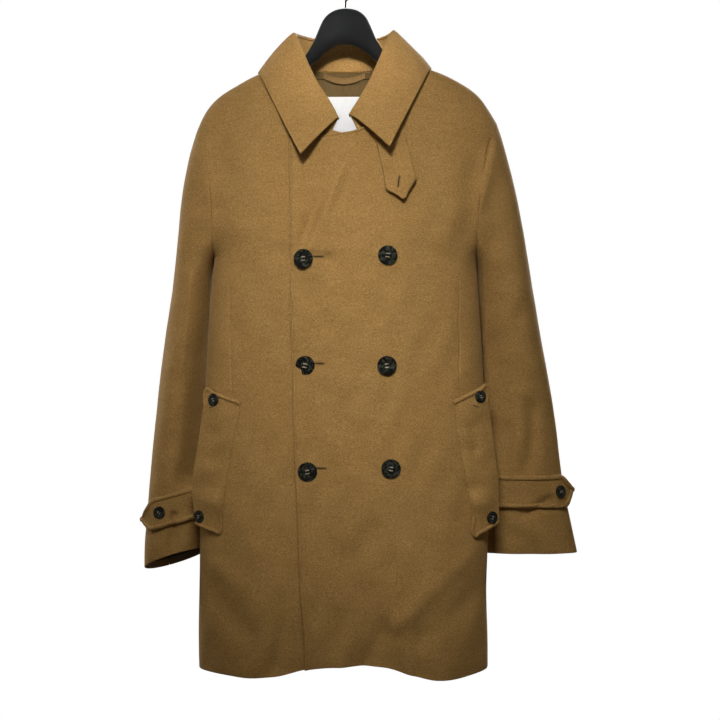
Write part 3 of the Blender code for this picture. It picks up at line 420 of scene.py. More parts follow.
# %% Panels, sleeves, collar and trim
CLOTH_PIECES = {
    # node: rim radius, subdivision levels, width, length and area of the cut, in metres
    "front_left": (0.0009, 2, 0.314, 0.896, 0.2485),
    "front_right": (0.0009, 2, 0.328, 0.895, 0.2531),
    "back_left": (0.0009, 2, 0.254, 0.902, 0.2034),
    "back_right": (0.0009, 2, 0.260, 0.901, 0.2052),
    "top_sleeve_left": (0.0009, 2, 0.188, 0.660, 0.1040),
    "top_sleeve_right": (0.0009, 2, 0.169, 0.660, 0.0956),
    "under_sleeve_left": (0.0009, 2, 0.133, 0.580, 0.0626),
    "under_sleeve_right": (0.0009, 2, 0.118, 0.580, 0.0554),
    "collar_fall": (0.0016, 3, 0.540, 0.130, 0.0531),
    "collar_stand": (0.0009, 2, 0.400, 0.055, 0.0194),
    "throat_latch": (0.0014, 3, 0.050, 0.112, 0.0050),
    "pocket_welt_left": (0.0004, 3, 0.061, 0.212, 0.0109),
    "pocket_welt_right": (0.0004, 3, 0.063, 0.205, 0.0113),
    "cuff_strap_left": (0.0014, 3, 0.132, 0.052, 0.0064),
    "cuff_strap_right": (0.0014, 3, 0.110, 0.053, 0.0053),
}
SEAM_GROWTH = 0.0003    # the panels are that much thicker than the solids, so their seams close
cloth = {}
for node, (rim, levels, *_) in CLOTH_PIECES.items():
    cloth[node] = take(node, f"wool_{node}")
    soften(cloth[node], rim, levels, SEAM_GROWTH)
    dress(cloth[node], wool, "wool", node)
print("cloth faces:", {name: len(o.data.polygons) for name, o in cloth.items()})

# %% [markdown]
# A coat is lined, and the lining ends above the hem, where the wool is turned up, and beside the
# front edge, where a wool facing backs it. The inner faces of the panels are the ones whose normals
# point towards the middle of the coat, so they are found by that and get the satin.

# %% Lined insides
HEM_TURN_UP = 0.045
FACING = 0.095          # half the width of the wool behind the overlapping fronts
INNER_WIDTH = 0.12      # the body's inner faces look towards the plane y = 0 within this of x = 0
INNER_TOP = -0.25       # and towards this height where they round over the shoulders
SLEEVE_TOP = -0.36      # a sleeve's middle line starts at this height
SLEEVE_X, SLEEVE_Y = (0.215, 0.05), (0.020, 0.017)      # where, and how far half a metre takes it
BODY_PANELS = ("front_left", "front_right", "back_left", "back_right")
SLEEVE_PANELS = ("top_sleeve_left", "top_sleeve_right", "under_sleeve_left", "under_sleeve_right")


def body_axis(centre):
    """The place on the body's middle that an inner face at this centre looks to."""
    return Vector((max(-INNER_WIDTH, min(INNER_WIDTH, centre.x)), 0.0, min(centre.z, INNER_TOP)))


def sleeve_axis(centre):
    """The place on a sleeve's middle line at the height of this centre."""
    low = min(centre.z, SLEEVE_TOP)
    share = (SLEEVE_TOP - low) / 0.5
    side = 1 if centre.x > 0 else -1
    return Vector((side * (SLEEVE_X[0] + SLEEVE_X[1] * share), SLEEVE_Y[0] + SLEEVE_Y[1] * share,
                   low))


def turn_inside(piece, axis, keeps_wool):
    """The inner faces get the lining, except where keeps_wool says that the wool turns in."""
    piece.data.materials.append(lining)
    count = 0
    for face in piece.data.polygons:
        inward = face.normal.dot(face.center - axis(face.center)) < 0
        if inward and not keeps_wool(face.center):
            face.material_index = 1
            count += 1
    return count


hem_z = min(vertex.co.z for vertex in cloth["back_left"].data.vertices)
lined = 0
for node in BODY_PANELS:
    lined += turn_inside(cloth[node], body_axis, lambda c: c.z < hem_z + HEM_TURN_UP
                         or (c.y < 0 and abs(c.x) < FACING))
for node in SLEEVE_PANELS:
    lined += turn_inside(cloth[node], sleeve_axis, lambda c: False)
print("lined faces:", lined)

# %% [markdown]
# Where two cloths are sewn and turned, the edge swells into a soft roll a few millimetres wide, with
# a faint groove beside it. The roll is a thick cord along the rim of the solid: the rim's sharp
# edges are walked in order, moved a little under the surface and in from the edge, and given a round
# section. At the collar's points it turns in a curve.

# %% Rolled edges
OUTWARD = 0.7           # a face looks outwards if its normal and that direction agree this much


def rim_path(node, inside, keep):
    """Places along a rim, in order, with the cloth's and the rim's own normals: the sharp edges on
    the side away from the point inside, where keep says so."""
    work = bmesh.new()
    work.from_mesh(nodes[node].data)
    bmesh.ops.remove_doubles(work, verts=work.verts, dist=MERGE)
    joined, rows = {}, {}
    for edge in work.edges:
        if len(edge.link_faces) != 2 or edge.calc_face_angle(0) < SHARP:
            continue
        middle = (edge.verts[0].co + edge.verts[1].co) / 2
        away = middle - Vector((inside[0], inside[1], middle.z))
        rim, face = sorted(edge.link_faces, key=lambda f: abs(f.normal.dot(away)))
        if not keep(middle) or face.normal.dot(away.normalized()) < OUTWARD:
            continue
        for vertex, other in (tuple(edge.verts), tuple(edge.verts)[::-1]):
            joined.setdefault(vertex.index, set()).add(other.index)
            rows.setdefault(vertex.index, []).append((vertex.co.copy(), face.normal.copy(),
                                                      rim.normal.copy()))
    work.free()
    ends = [index for index, others in joined.items() if len(others) == 1]
    here, order = min(ends or joined, key=lambda i: rows[i][0][0].z), []
    while here is not None:
        order.append(here)
        here = next((o for o in sorted(joined[here]) if o not in order), None)
    path = []
    for index in order:
        outward = sum((row[1] for row in rows[index]), Vector()).normalized()
        edgeward = sum((row[2] for row in rows[index]), Vector()).normalized()
        path.append((rows[index][0][0], outward, edgeward))
    return path


def rolled_edge(name, path, radius, sink, back, material=wool, slot="wool"):
    """A cord of this radius along a path, sunk under the surface and set back from the edge."""
    curve = bpy.data.curves.new(name, "CURVE")
    curve.dimensions = "3D"
    curve.bevel_depth = radius
    curve.bevel_resolution = 3
    curve.resolution_u = 5
    curve.use_fill_caps = True
    spline = curve.splines.new("BEZIER")
    spline.bezier_points.add(len(path) - 1)
    for point, (place, outward, edgeward) in zip(spline.bezier_points, path):
        point.co = place - outward * sink - edgeward * back
        point.handle_left_type = point.handle_right_type = "AUTO"
    roll = bpy.data.objects.new(name, curve)
    scene.collection.objects.link(roll)
    activate(roll)
    bpy.ops.object.convert(target="MESH")
    roll = bpy.context.object
    roll.name = name
    roll.data.shade_smooth()
    return dress(roll, material, slot)


ROLLS = {
    # name: node, point inside the coat, which part of the rim, radius, sink, set back
    "front_edge_roll": ("front_left", (0.0, 0.1), lambda p: p.x < -0.045 and p.z > -0.995,
                        0.0022, 0.0006, 0.0015),
    "neck_edge_roll": ("front_left", (0.0, 0.1), lambda p: p.z > -0.2585 and -0.045 < p.x < 0.03,
                       0.0020, 0.0006, 0.0016),
    "welt_right_top_roll": ("pocket_welt_right", (-0.12, 0.1), lambda p: p.z > -0.631,
                            0.0030, 0.0008, 0.0028),
    "welt_left_top_roll": ("pocket_welt_left", (0.12, 0.1), lambda p: p.z > -0.630,
                           0.0030, 0.0008, 0.0028),
    "welt_right_low_roll": ("pocket_welt_right", (-0.12, 0.1), lambda p: p.z < -0.799,
                            0.0030, 0.0008, 0.0028),
    "welt_left_low_roll": ("pocket_welt_left", (0.12, 0.1), lambda p: p.z < -0.797,
                           0.0030, 0.0008, 0.0028),
    "strap_right_roll": ("cuff_strap_right", (-0.245, 0.038), lambda p: p.x < -0.214,
                         0.0036, 0.0012, 0.0034),
    "strap_left_roll": ("cuff_strap_left", (0.26, 0.037), lambda p: p.x > 0.206,
                        0.0036, 0.0012, 0.0034),
    "latch_roll": ("throat_latch", (0.06, 0.1), lambda p: p.z < -0.240,
                   0.0016, 0.0011, 0.0014),
    "collar_roll": ("collar_fall", (0.0, 0.0), lambda p: p.z < -0.16 and p.y < -0.02,
                    0.0021, 0.0019, 0.0014),
}
COLLAR_POINTS = (Vector((-0.060, -0.09, -0.288)), Vector((0.061, -0.09, -0.279)))
ROUNDED = 0.0075        # the cord leaves out the rim this near to a point, so it turns in a curve


def near_point(place, reach):
    return any(math.hypot(place.x - tip.x, place.z - tip.z) < reach for tip in COLLAR_POINTS)


rolls = {}
for name, (node, inside, keep, radius, sink, back) in ROLLS.items():
    path = [row for row in rim_path(node, inside, keep)
            if node != "collar_fall" or not near_point(row[0], ROUNDED)]
    print(name, len(path), [round(1000 * v) for v in path[0][0]],
          [round(1000 * v) for v in path[-1][0]])
    rolls[name] = rolled_edge(name, path, radius, sink, back)

# %% [markdown]
# A dart takes in the chest above each pocket, and a seam runs down the lining. Such a seam is a
# narrow groove. It is cut as by hand: three cuts side by side across the faces that look to the
# front, and the middle one is pushed in, less at its ends.

# %% Darts and seams
BAND, PAST_ENDS = 0.012, 0.003  # the cuts run through the faces this near to the line, in metres
FORWARD = -0.2          # y of a normal that looks to the front


def groove(piece, start, end, half_width, depth):
    """A groove along the line from start to end, both x and z, in the faces that look forward."""
    low = Vector((start[0], 0.0, start[1]))
    along = Vector((end[0], 0.0, end[1])) - low
    length = along.length
    along.normalize()
    side = Vector((-along.z, 0.0, along.x))
    activate(piece)
    bpy.ops.object.mode_set(mode="EDIT")
    for offset in (-half_width, 0.0, half_width):
        bpy.ops.mesh.select_mode(type="FACE")
        bpy.ops.mesh.select_all(action="DESELECT")
        work = bmesh.from_edit_mesh(piece.data)
        for face in work.faces:
            away = face.calc_center_median() - low
            near = (abs(away.dot(side)) < BAND
                    and -PAST_ENDS < away.dot(along) < length + PAST_ENDS)
            face.select = near and face.normal.y < FORWARD
        bmesh.update_edit_mesh(piece.data)
        bpy.ops.mesh.bisect(plane_co=low + side * offset, plane_no=side)
    work = bmesh.from_edit_mesh(piece.data)
    pushed = 0
    for vertex in work.verts:
        away = vertex.co - low
        share = away.dot(along) / length
        on_line = abs(away.dot(side)) < half_width * 0.2 and 0 < share < 1
        if on_line and vertex.normal.y < FORWARD:
            vertex.co -= vertex.normal * depth * min(1.0, 8 * share, 8 * (1 - share))
            pushed += 1
    bmesh.update_edit_mesh(piece.data)
    bpy.ops.object.mode_set(mode="OBJECT")
    return pushed


DART_HALF_WIDTH, DART_DEPTH = 0.0016, 0.0024
DARTS = {"front_right": ((-0.1640, -0.460), (-0.1585, -0.612)),
         "front_left": ((0.1605, -0.460), (0.1610, -0.609))}
print("dart points:", [groove(cloth[node], top, low, DART_HALF_WIDTH, DART_DEPTH)
                       for node, (top, low) in DARTS.items()])

# %% [markdown]
# The collar's points are turned and pressed, so they are round and not sharp. They are smoothed in
# edit mode, only close to the tip, and more often than the rest.

# %% Round the collar's points
POINT_REACH = 0.017     # the cloth is smoothed this near to a point
activate(cloth["collar_fall"])
bpy.ops.object.mode_set(mode="EDIT")
bpy.ops.mesh.select_mode(type="VERT")
bpy.ops.mesh.select_all(action="DESELECT")
work = bmesh.from_edit_mesh(cloth["collar_fall"].data)
for vertex in work.verts:
    vertex.select = near_point(vertex.co, POINT_REACH)
smoothed = sum(vertex.select for vertex in work.verts)
bmesh.update_edit_mesh(cloth["collar_fall"].data)
bpy.ops.mesh.vertices_smooth(factor=0.5, repeat=140)
bpy.ops.object.mode_set(mode="OBJECT")
print("collar points' vertices:", smoothed)

# %% [markdown]
# A welt is sewn to the front along its inner edge, where the cloth is pressed flat, so that only a
# faint line shows. The copy is pushed back there, less and less towards the free edge.

# %% Press the welts' sewn edges
WELT_SEWN = {
    # node: x and z of the sewn edge at the top and at the bottom
    "pocket_welt_right": ((-0.1455, -0.627), (-0.175, -0.814)),
    "pocket_welt_left": ((0.1505, -0.626), (0.181, -0.819)),
}
PRESS, PRESS_REACH = 0.0016, 0.012      # how far it is pressed, and how far from the sewn edge
for node, (top, low) in WELT_SEWN.items():
    for vertex in cloth[node].data.vertices:
        share = (vertex.co.z - top[1]) / (low[1] - top[1])
        sewn = top[0] + (low[0] - top[0]) * share
        from_edge = abs(vertex.co.x - sewn)
        vertex.co.y += PRESS * max(0.0, 1 - from_edge / PRESS_REACH) ** 2
print("pressed, mm:", 1000 * PRESS, "on", list(WELT_SEWN))

# %% [markdown]
# Heavy wool doesn't crumple. It hangs in a few wide ridges and hollows: from the collar to the top
# button, inside the armholes, above the hem. Each is a line along which the cloth stands out or
# sinks by some millimetres, less and less to its sides. Both faces of a panel, what lies on it and
# its buttons move by the same amount, so nothing comes apart.

# %% Ridges and hollows
BODY_CREASES = (
    # x and z of both ends, half width, height (less than 0 is a hollow), in metres
    (-0.004, -0.3017, -0.0568, -0.4323, 0.0070, 0.0052),  # ridge from the collar to the top button
    (-0.0318, -0.3406, -0.0596, -0.3962, 0.0080, -0.0036),  # hollow beside it
    (-0.1707, -0.2462, -0.179, -0.3531, 0.0240, -0.0075),  # hollow inside the right armhole
    (0.1849, -0.2628, 0.1738, -0.3809, 0.0180, -0.0055),  # hollow inside the left armhole
    (-0.0512, -0.4226, -0.0234, -0.4253, 0.0045, -0.0028),  # pulls of the buttonholes
    (-0.0512, -0.4406, -0.029, -0.4434, 0.0050, 0.0024),
    (-0.0512, -0.5726, -0.0234, -0.5712, 0.0045, -0.0020),
    (-0.0512, -0.5892, -0.0234, -0.592, 0.0050, 0.0030),
    (-0.0485, -0.7142, -0.0207, -0.7184, 0.0045, -0.0026),
    (-0.0457, -0.7323, -0.0234, -0.7351, 0.0050, 0.0022),
    (0.0682, -0.9407, 0.1849, -0.8351, 0.0080, 0.0060),  # long ridge above the left hem
    (0.1043, -0.9601, 0.1905, -0.8934, 0.0130, -0.0050),  # hollow under it
    (-0.1846, -0.9018, -0.1262, -0.9573, 0.0120, -0.0056),  # hollow above the right hem
    (-0.1929, -0.8545, -0.1123, -0.9073, 0.0090, 0.0040),  # ridge beside it
    (0.0543, -0.949, 0.0266, -0.9962, 0.0110, -0.0072),  # hollow over the hem
    (0.0016, -0.9657, -0.004, -0.9962, 0.0100, 0.0045),  # ridge over the hem
    (0.0835, -0.9712, 0.0905, -1.0018, 0.0090, 0.0040),
    (-0.0873, -0.9434, -0.0957, -0.9962, 0.0090, -0.0045),  # wave right of the edge
    (-0.1151, -0.9573, -0.1207, -0.9962, 0.0090, 0.0035),
    (-0.1929, -0.7656, -0.1846, -0.7684, 0.0130, 0.0055),  # swell over the right welt button
    (0.1877, -0.767, 0.196, -0.7698, 0.0130, 0.0055),  # swell over the left welt button
    (0.1793, -0.6656, 0.1849, -0.6934, 0.0090, -0.0034),  # hollows in the welts
    (-0.1873, -0.674, -0.1901, -0.7101, 0.0100, -0.0026),
    (-0.1512, -0.8045, -0.1151, -0.7212, 0.0140, 0.0026),  # soft ridges over the skirt
    (0.0016, -0.8462, 0.0738, -0.7906, 0.0150, -0.0024),
    (-0.0207, -0.6656, 0.0071, -0.7906, 0.0180, 0.0020),
)
SLEEVE_CREASES = (
    (-0.1915, -0.2712, -0.1832, -0.367, 0.0050, -0.0040),  # right pit line
    (0.2071, -0.2545, 0.1835, -0.3531, 0.0040, -0.0038),  # left pit line
    (0.2168, -0.2489, 0.1918, -0.3531, 0.0070, 0.0032),  # left sleeve head
    (0.2724, -0.6379, 0.2682, -0.7156, 0.0080, -0.0055),  # hollow above the left strap
    (0.253, -0.624, 0.2488, -0.7212, 0.0090, 0.0030),  # ridges beside it
    (0.2877, -0.6517, 0.2877, -0.7142, 0.0070, 0.0024),
    (0.2155, -0.5267, 0.2544, -0.4712, 0.0090, 0.0016),  # slant fold of the left sleeve
    (-0.2478, -0.7934, -0.2512, -0.8462, 0.0060, -0.0070),  # right cuff groove
    (-0.229, -0.8073, -0.2276, -0.8295, 0.0090, 0.0040),  # right cuff swell
    (0.296, -0.7712, 0.2627, -0.7934, 0.0070, -0.0050),  # left cuff hollow
    (0.2377, -0.8018, 0.2821, -0.824, 0.0090, 0.0036),  # left cuff swell
)
BACK_CREASES = (
    (0.0, -0.20, 0.0, -0.42, 0.0300, -0.0030),  # between the shoulder blades
    (-0.11, -0.16, -0.15, -0.40, 0.0150, 0.0030),  # right shoulder blade
    (0.11, -0.16, 0.15, -0.40, 0.0150, 0.0030),
    (-0.09, -0.62, -0.12, -0.96, 0.0180, 0.0035),  # two long folds down the skirt
    (0.08, -0.60, 0.11, -0.96, 0.0180, 0.0035),
    (-0.02, -0.70, 0.01, -0.97, 0.0160, -0.0030),
)
UNEVEN = (
    # waves a metre across and along, in radians, and height: the cloth is never quite even
    (92, 61, 0.00070), (-118, 83, 0.00055), (34, 141, 0.00055), (151, -47, 0.00038),
    (-61, 196, 0.00030),
)
UNEVEN_START = 300      # spreads the waves' starts
FOLD_LINE = ((-0.194, -0.36), (-0.207, -0.485), (-0.232, -0.624), (-0.250, -0.735))
FOLD_GROWS, FOLD_ENDS, FOLD_FADES = 0.10, -0.765, 0.03
FOLD_PRESS, FOLD_WIDTH = 0.023, 0.036   # the right sleeve's inner half lies that much deeper
RIGHT_SLEEVE = -0.1     # x of all of it is less than this


def smooth(share):
    """Rises from 0 to 1 with the share, without a corner at either end."""
    share = np.clip(share, 0.0, 1.0)
    return share * share * (3 - 2 * share)


def relief(x, z, creases):
    """How far the cloth stands out of its plain form at places x and z."""
    total = np.zeros_like(x)
    for x0, z0, x1, z1, half_width, height in creases:
        run = np.array((x1 - x0, z1 - z0))
        share = np.clip(((x - x0) * run[0] + (z - z0) * run[1]) / (run @ run), 0.0, 1.0)
        off = np.hypot(x - x0 - share * run[0], z - z0 - share * run[1])
        total += height * np.exp(-(off / half_width) ** 2)
    for across, along, height in UNEVEN:
        start = UNEVEN_START * height * (across + along)
        total += height * np.sin(x * across + z * along + start)
    return total


def sleeve_press(x, z):
    """The right sleeve's front is folded lengthwise: its inner half lies deeper."""
    heights = [point[1] for point in FOLD_LINE][::-1]
    line = np.interp(z, heights, [point[0] for point in FOLD_LINE][::-1])
    ends = smooth((FOLD_LINE[0][1] - z) / FOLD_GROWS) * smooth((z - FOLD_ENDS) / FOLD_FADES)
    return FOLD_PRESS * smooth((x - line) / FOLD_WIDTH) * ends * (x < RIGHT_SLEEVE)


BODY_BLEND, BACK_START = 0.05, 0.01     # the folds fade out over this depth, towards the sides
SLEEVE_END, SLEEVE_BLEND = 0.05, 0.04
COLLAR_CURL, CURL_TOP, CURL_HEIGHT = 0.014, -0.175, 0.11        # the collar's points stand off
COLLAR_SINK, SINK_Z, SINK_REACH = 0.0045, -0.215, 0.035         # and its leaves sink above them
COLLAR_FRONT, COLLAR_BLEND = -0.02, 0.03


def shift(x, y, z, kind):
    """The way a point of a piece moves along Y; kind is body, sleeve or collar."""
    if kind == "body":
        front = -relief(x, z, BODY_CREASES) * smooth(-y / BODY_BLEND)
        return front + relief(x, z, BACK_CREASES) * smooth((y - BACK_START) / BODY_BLEND)
    if kind == "sleeve":
        moved = sleeve_press(x, z) - relief(x, z, SLEEVE_CREASES)
        return moved * smooth((SLEEVE_END - y) / SLEEVE_BLEND)
    curl = np.clip((CURL_TOP - z) / CURL_HEIGHT, 0.0, 1.2)
    sink = np.exp(-((z - SINK_Z) / SINK_REACH) ** 2)
    moved = COLLAR_SINK * sink - COLLAR_CURL * curl ** 2
    return moved * smooth((COLLAR_FRONT - y) / COLLAR_BLEND)


KINDS = {"body": ("front", "back", "pocket", "welt", "throat", "latch", "neck", "hanger_loop"),
         "sleeve": ("top", "under", "cuff", "strap"), "collar": ("collar_fall", "collar_roll")}


def kind_of(name):
    return next((kind for kind, words in KINDS.items() if name.startswith(words)), None)


EDGE_LINE = ((-0.258, -0.0705), (-1.0, -0.0620))        # z and x of the overlapping front's edge
EDGE_LIFT, EDGE_REACH = 0.0024, 0.014           # it stands off the front below, so a dark line shows
EDGE_FRONT = -0.02      # y of what lies in front of the hanger
LIFTED = ("wool_front_left", "front_edge_roll", "neck_edge_roll")


def edge_lift(x, z):
    """How far the overlapping front's edge stands off at places x and z."""
    line = np.interp(z, [EDGE_LINE[1][0], EDGE_LINE[0][0]], [EDGE_LINE[1][1], EDGE_LINE[0][1]])
    return EDGE_LIFT * np.exp(-((x - line) / EDGE_REACH) ** 2)


def crease(piece, kind):
    """Moves a piece's vertices by the folds, and says how far at most."""
    mesh = piece.data
    places = np.empty(3 * len(mesh.vertices))
    mesh.vertices.foreach_get("co", places)
    places = places.reshape(-1, 3)
    moved = shift(places[:, 0], places[:, 1], places[:, 2], kind)
    if piece.name in LIFTED:
        moved = moved - edge_lift(places[:, 0], places[:, 2]) * (places[:, 1] < EDGE_FRONT)
    places[:, 1] += moved
    mesh.vertices.foreach_set("co", places.ravel())
    mesh.update()
    return float(np.abs(moved).max())


moved = {}
for name, piece in {**cloth, **rolls}.items():
    if kind_of(name):
        moved[name] = round(1000 * crease(piece, kind_of(name)), 1)
print("moved, mm:", moved)

# %% [markdown]
# A horn button is turned on a lathe: a flat disc with a raised rim, a shallow dish and four drilled
# holes. One is modelled here, and each of the twelve is a copy with its own mesh, turned square to
# the cloth under it. Two stitches of thread cross its holes.

# %% Model a button
BUTTON_HEIGHT = 0.27    # all sizes are shares of the button's radius
RIM_FLAT, RIM_SLOPE = 0.11, 0.14        # the rim's flat top, and its slope down to the dish
DISH_DEPTH, DISH_STEP, EDGE_ROUND = 0.081, 0.35, 0.06
HOLE_RADIUS, HOLE_PLACE = 0.085, 0.17   # a hole's radius, and its distance from the middle lines
STITCH_Z, STITCH_WIDTH, STITCH_RISE = 0.2, 0.062, 0.075


def select_faces(piece, wanted):
    bpy.ops.object.mode_set(mode="OBJECT")
    for face in piece.data.polygons:
        face.select = wanted(face)
    bpy.ops.object.mode_set(mode="EDIT")
    bpy.ops.mesh.select_mode(type="FACE")


def model_button():
    """A button of radius 1, its back at 0, facing +Z."""
    deselect()
    bpy.ops.mesh.primitive_cylinder_add(vertices=40, radius=1.0, depth=BUTTON_HEIGHT,
                                        location=(0, 0, BUTTON_HEIGHT / 2))
    button = bpy.context.object
    activate(button)
    bpy.ops.object.transform_apply(location=True)
    select_faces(button, lambda f: f.normal.z > 0.9)
    bpy.ops.mesh.inset(thickness=RIM_FLAT)
    bpy.ops.mesh.inset(thickness=RIM_SLOPE)
    bpy.ops.transform.translate(value=(0, 0, -DISH_DEPTH))
    bpy.ops.mesh.inset(thickness=DISH_STEP)
    bpy.ops.object.mode_set(mode="OBJECT")
    apply(button, "BEVEL", width=EDGE_ROUND, segments=3, limit_method="ANGLE",
          angle_limit=math.radians(40))
    for across in (-HOLE_PLACE, HOLE_PLACE):
        for along in (-HOLE_PLACE, HOLE_PLACE):
            deselect()
            bpy.ops.mesh.primitive_cylinder_add(vertices=10, radius=HOLE_RADIUS, depth=1.0,
                                                location=(across, along, BUTTON_HEIGHT / 2))
            drill = bpy.context.object
            apply(button, "BOOLEAN", operation="DIFFERENCE", object=drill, solver="EXACT")
            bpy.data.objects.remove(drill)
    activate(button)
    bpy.ops.object.shade_smooth_by_angle(angle=math.radians(35))
    return button


def model_stitches():
    """Two short threads across the holes of that button."""
    made = []
    for along in (-HOLE_PLACE, HOLE_PLACE):
        deselect()
        bpy.ops.mesh.primitive_uv_sphere_add(segments=10, ring_count=8, radius=1.0,
                                             location=(0, along, STITCH_Z))
        stitch = bpy.context.object
        stitch.scale = (HOLE_PLACE * 1.25, STITCH_WIDTH, STITCH_RISE)
        activate(stitch)
        bpy.ops.object.transform_apply(location=True, scale=True)
        made.append(stitch)
    for stitch in made:
        stitch.select_set(True)
    bpy.context.view_layer.objects.active = made[0]
    bpy.ops.object.join()
    stitches = bpy.context.object
    stitches.data.shade_smooth()
    return stitches


button_pattern, stitch_pattern = model_button(), model_stitches()
print("button faces:", len(button_pattern.data.polygons))


# %% Sew the buttons on
def copy_at(pattern, name, turn, material):
    """A copy with its own mesh, its place in its mesh."""
    made = bpy.data.objects.new(name, pattern.data.copy())
    made.data.transform(turn)
    made.data.materials.clear()
    scene.collection.objects.link(made)
    return dress(made, material, "horn" if material is horn else "wool")


def button_turn(node):
    """Middle, direction, side, radius and height of a CAD button, from its own points."""
    points = np.array([v.co[:] for v in nodes[node].data.vertices])
    middle = points.mean(axis=0)
    facing = Vector(np.linalg.svd(points - middle)[2][2])
    if facing.y > 0:
        facing = -facing
    along = (points - middle) @ np.array(facing)
    radius = np.linalg.norm(points - middle, axis=1).max()
    centre = Vector(middle) + facing * float(along.min() + along.max()) / 2
    side = facing.cross(Vector((0, 0, 1))).normalized()
    return centre, facing, side, radius, float(along.max() - along.min())


TILT = {"front": 8, "pocket": 24, "cuff": 62}       # how far the stitches lean, in degrees
for number, node in enumerate(sorted(n for n in nodes if "button" in n)):
    centre, facing, side, radius, height = button_turn(node)
    lean = math.radians(TILT[node.split("_")[0]] * (1 if number % 2 else -1))
    centre.y += float(shift(*(np.array([value]) for value in centre), kind_of(node))[0])
    frame_turn = Matrix((side, facing.cross(side), facing)).transposed().to_4x4()
    turn = (Matrix.Translation(centre - facing * height / 2) @ frame_turn
            @ Matrix.Rotation(lean, 4, "Z") @ Matrix.Scale(radius, 4))
    made = copy_at(button_pattern, f"horn_{node}", turn, horn)
    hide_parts(node)
    copy_at(stitch_pattern, f"thread_{node}", turn, button_thread)
for pattern in (button_pattern, stitch_pattern):
    bpy.data.objects.remove(pattern)
print("buttons:", number + 1)

# %% [markdown]
# A worked buttonhole is a slit with thread packed along both sides. On a coat it is about as long as
# the button is wide, and half of it hides under the button. It is laid on the cloth where a straight
# line from the front meets it. The slit is a flat near-black lozenge in the ring: painted shade in
# the gap between its lips.

# %% Buttonholes
RING_RADIUS, RING_THREAD, RING_FLATTEN = 0.065, 0.036, 0.7      # shares of the hole's length
RING_STRETCH = 0.42     # its two halves are drawn this far apart
SLIT_SIZE = (0.46, 0.05, 0.02)


def cloth_tree(names):
    """One search tree over several finished pieces."""
    corners, faces = [], []
    for name in names:
        mesh = cloth[name].data
        start = len(corners)
        corners += [v.co.copy() for v in mesh.vertices]
        faces += [[start + i for i in face.vertices] for face in mesh.polygons]
    return BVHTree.FromPolygons(corners, faces)


front_cloth = cloth_tree(CLOTH_PIECES)


def on_front(x, z):
    """Place and outward normal of the outermost cloth at a place seen from the front."""
    place, normal, _, _ = front_cloth.ray_cast(Vector((x, -0.4, z)), Vector((0, 1, 0)))
    return place, normal if normal.y < 0 else -normal


def model_buttonhole():
    """A ring of thread round a slit, one unit long along X, facing +Z; the slit is a near-black
    lozenge, painted shade in the gap.
    """
    deselect()
    bpy.ops.mesh.primitive_torus_add(major_segments=32, minor_segments=8,
                                     major_radius=RING_RADIUS, minor_radius=RING_THREAD)
    ring = bpy.context.object
    activate(ring)
    for vertex in ring.data.vertices:
        vertex.co.x += RING_STRETCH if vertex.co.x > 0 else -RING_STRETCH
        vertex.co.z *= RING_FLATTEN
    ring.data.shade_smooth()
    deselect()
    bpy.ops.mesh.primitive_uv_sphere_add(segments=16, ring_count=8, radius=1.0)
    slit = bpy.context.object
    slit.scale = SLIT_SIZE
    activate(slit)
    bpy.ops.object.transform_apply(scale=True)
    slit.data.shade_smooth()
    return ring, slit


BUTTONHOLES = (
    # name, x and z of the middle, length, lean in degrees, in metres
    ("front_top", -0.0385, -0.4249, 0.020, 0), ("front_middle", -0.0375, -0.5731, 0.020, 0),
    ("front_low", -0.0350, -0.7184, 0.020, 0), ("latch", 0.0748, -0.3200, 0.018, 84),
    ("pocket_right_top", -0.1885, -0.6350, 0.011, 14),
    ("pocket_left_top", 0.1840, -0.6335, 0.012, -14),
)
ring_pattern, slit_pattern = model_buttonhole()
for name, x, z, length, lean in BUTTONHOLES:
    place, normal = on_front(x, z)
    side = Vector((0, 0, 1)).cross(normal).normalized()
    turn = (Matrix.Translation(place)
            @ Matrix((side, normal.cross(side), normal)).transposed().to_4x4()
            @ Matrix.Rotation(math.radians(lean), 4, "Z") @ Matrix.Scale(length, 4))
    copy_at(ring_pattern, f"buttonhole_{name}", turn, hole_thread)
    copy_at(slit_pattern, f"slit_{name}", turn, slit_painted_shade)
for pattern in (ring_pattern, slit_pattern):
    bpy.data.objects.remove(pattern)
print("buttonholes:", len(BUTTONHOLES))

# %% [markdown]
# Inside the neck the satin shows with a seam down its middle, a loop to hang the coat by, and a
# woven label; a dark piping covers its upper edge. They follow the back's folds, as the cuffs' linings
# follow those of the sleeves. The hanger is a moulded plastic shell whose edges are all rounded.

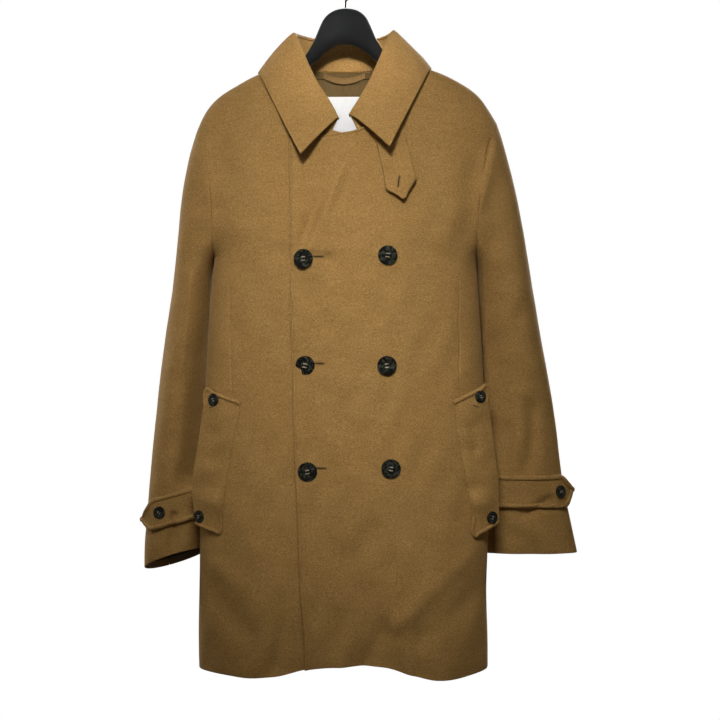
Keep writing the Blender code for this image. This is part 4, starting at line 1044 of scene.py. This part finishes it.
# %% Neck, hanger and hook
SMOOTH_PIECES = {
    # node: name, material, rim radius, levels, width, length and area of the cut in metres
    "neck_lining": ("satin_neck_lining", lining, 0.0003, 2, 0.184, 0.152, 0.0258),
    "neck_label": ("woven_label", label_tape, 0.0003, 2, 0.073, 0.063, 0.0046),
    "hanger_loop": ("satin_hanger_loop", loop_satin_painted_light, 0.0005, 3, 0.0105, 0.061, 0.0006),
    "cuff_lining_left": ("satin_cuff_left", cuff_lining_painted_shade, 0.0003, 2, 0.292, 0.062, 0.0176),
    "cuff_lining_right": ("satin_cuff_right", cuff_lining_painted_shade, 0.0003, 2, 0.247, 0.062, 0.0150),
    "hanger_body": ("moulded_hanger", plastic, 0.0015, 2, None, None, None),
    "hanger_hook": ("wire_hook", steel, 0.0004, 1, None, None, None),
}
slot_of = {row["node"]: row["material_slot"] for row in frame["record"]["subparts"]}
for node, (name, material, rim, levels, *_) in SMOOTH_PIECES.items():
    cloth[node] = take(node, name)
    soften(cloth[node], rim, levels)
    if kind_of(node):
        crease(cloth[node], kind_of(node))
    dress(cloth[node], material, slot_of[node], node)
LINING_SEAM, SEAM_HALF_WIDTH, SEAM_DEPTH = ((0.0, -0.152), (0.0, -0.296)), 0.0009, 0.0012
PIPING_RADIUS = 0.0009
print("lining seam points:", groove(cloth["neck_lining"], *LINING_SEAM, SEAM_HALF_WIDTH, SEAM_DEPTH))
seam_path = rim_path("neck_lining", (0.0, 0.4), lambda p: p.z > -0.156)
rolls["neck_piping"] = rolled_edge("neck_piping", seam_path, PIPING_RADIUS, 0.0, 0.0, piping,
                                   "lining")
crease(rolls["neck_piping"], "body")

# %% [markdown]
# Every piece of cloth is a sheet that was cut flat before it was sewn. The width and length of its
# cut, which are those of the flat shape's box, and the shape's own area are listed in the tables
# above; here the sheets are only counted.

for node, row in {**{n: r[2:] for n, r in CLOTH_PIECES.items()},
                  **{n: r[4:] for n, r in SMOOTH_PIECES.items()}}.items():
    width, length, area = row
print("sheets:", sum(1 for r in SMOOTH_PIECES.values() if r[4]) + len(CLOTH_PIECES))

# %% Sizes
low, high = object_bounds()
print("visual, mm:", [round(1000 * side) for side in high - low])
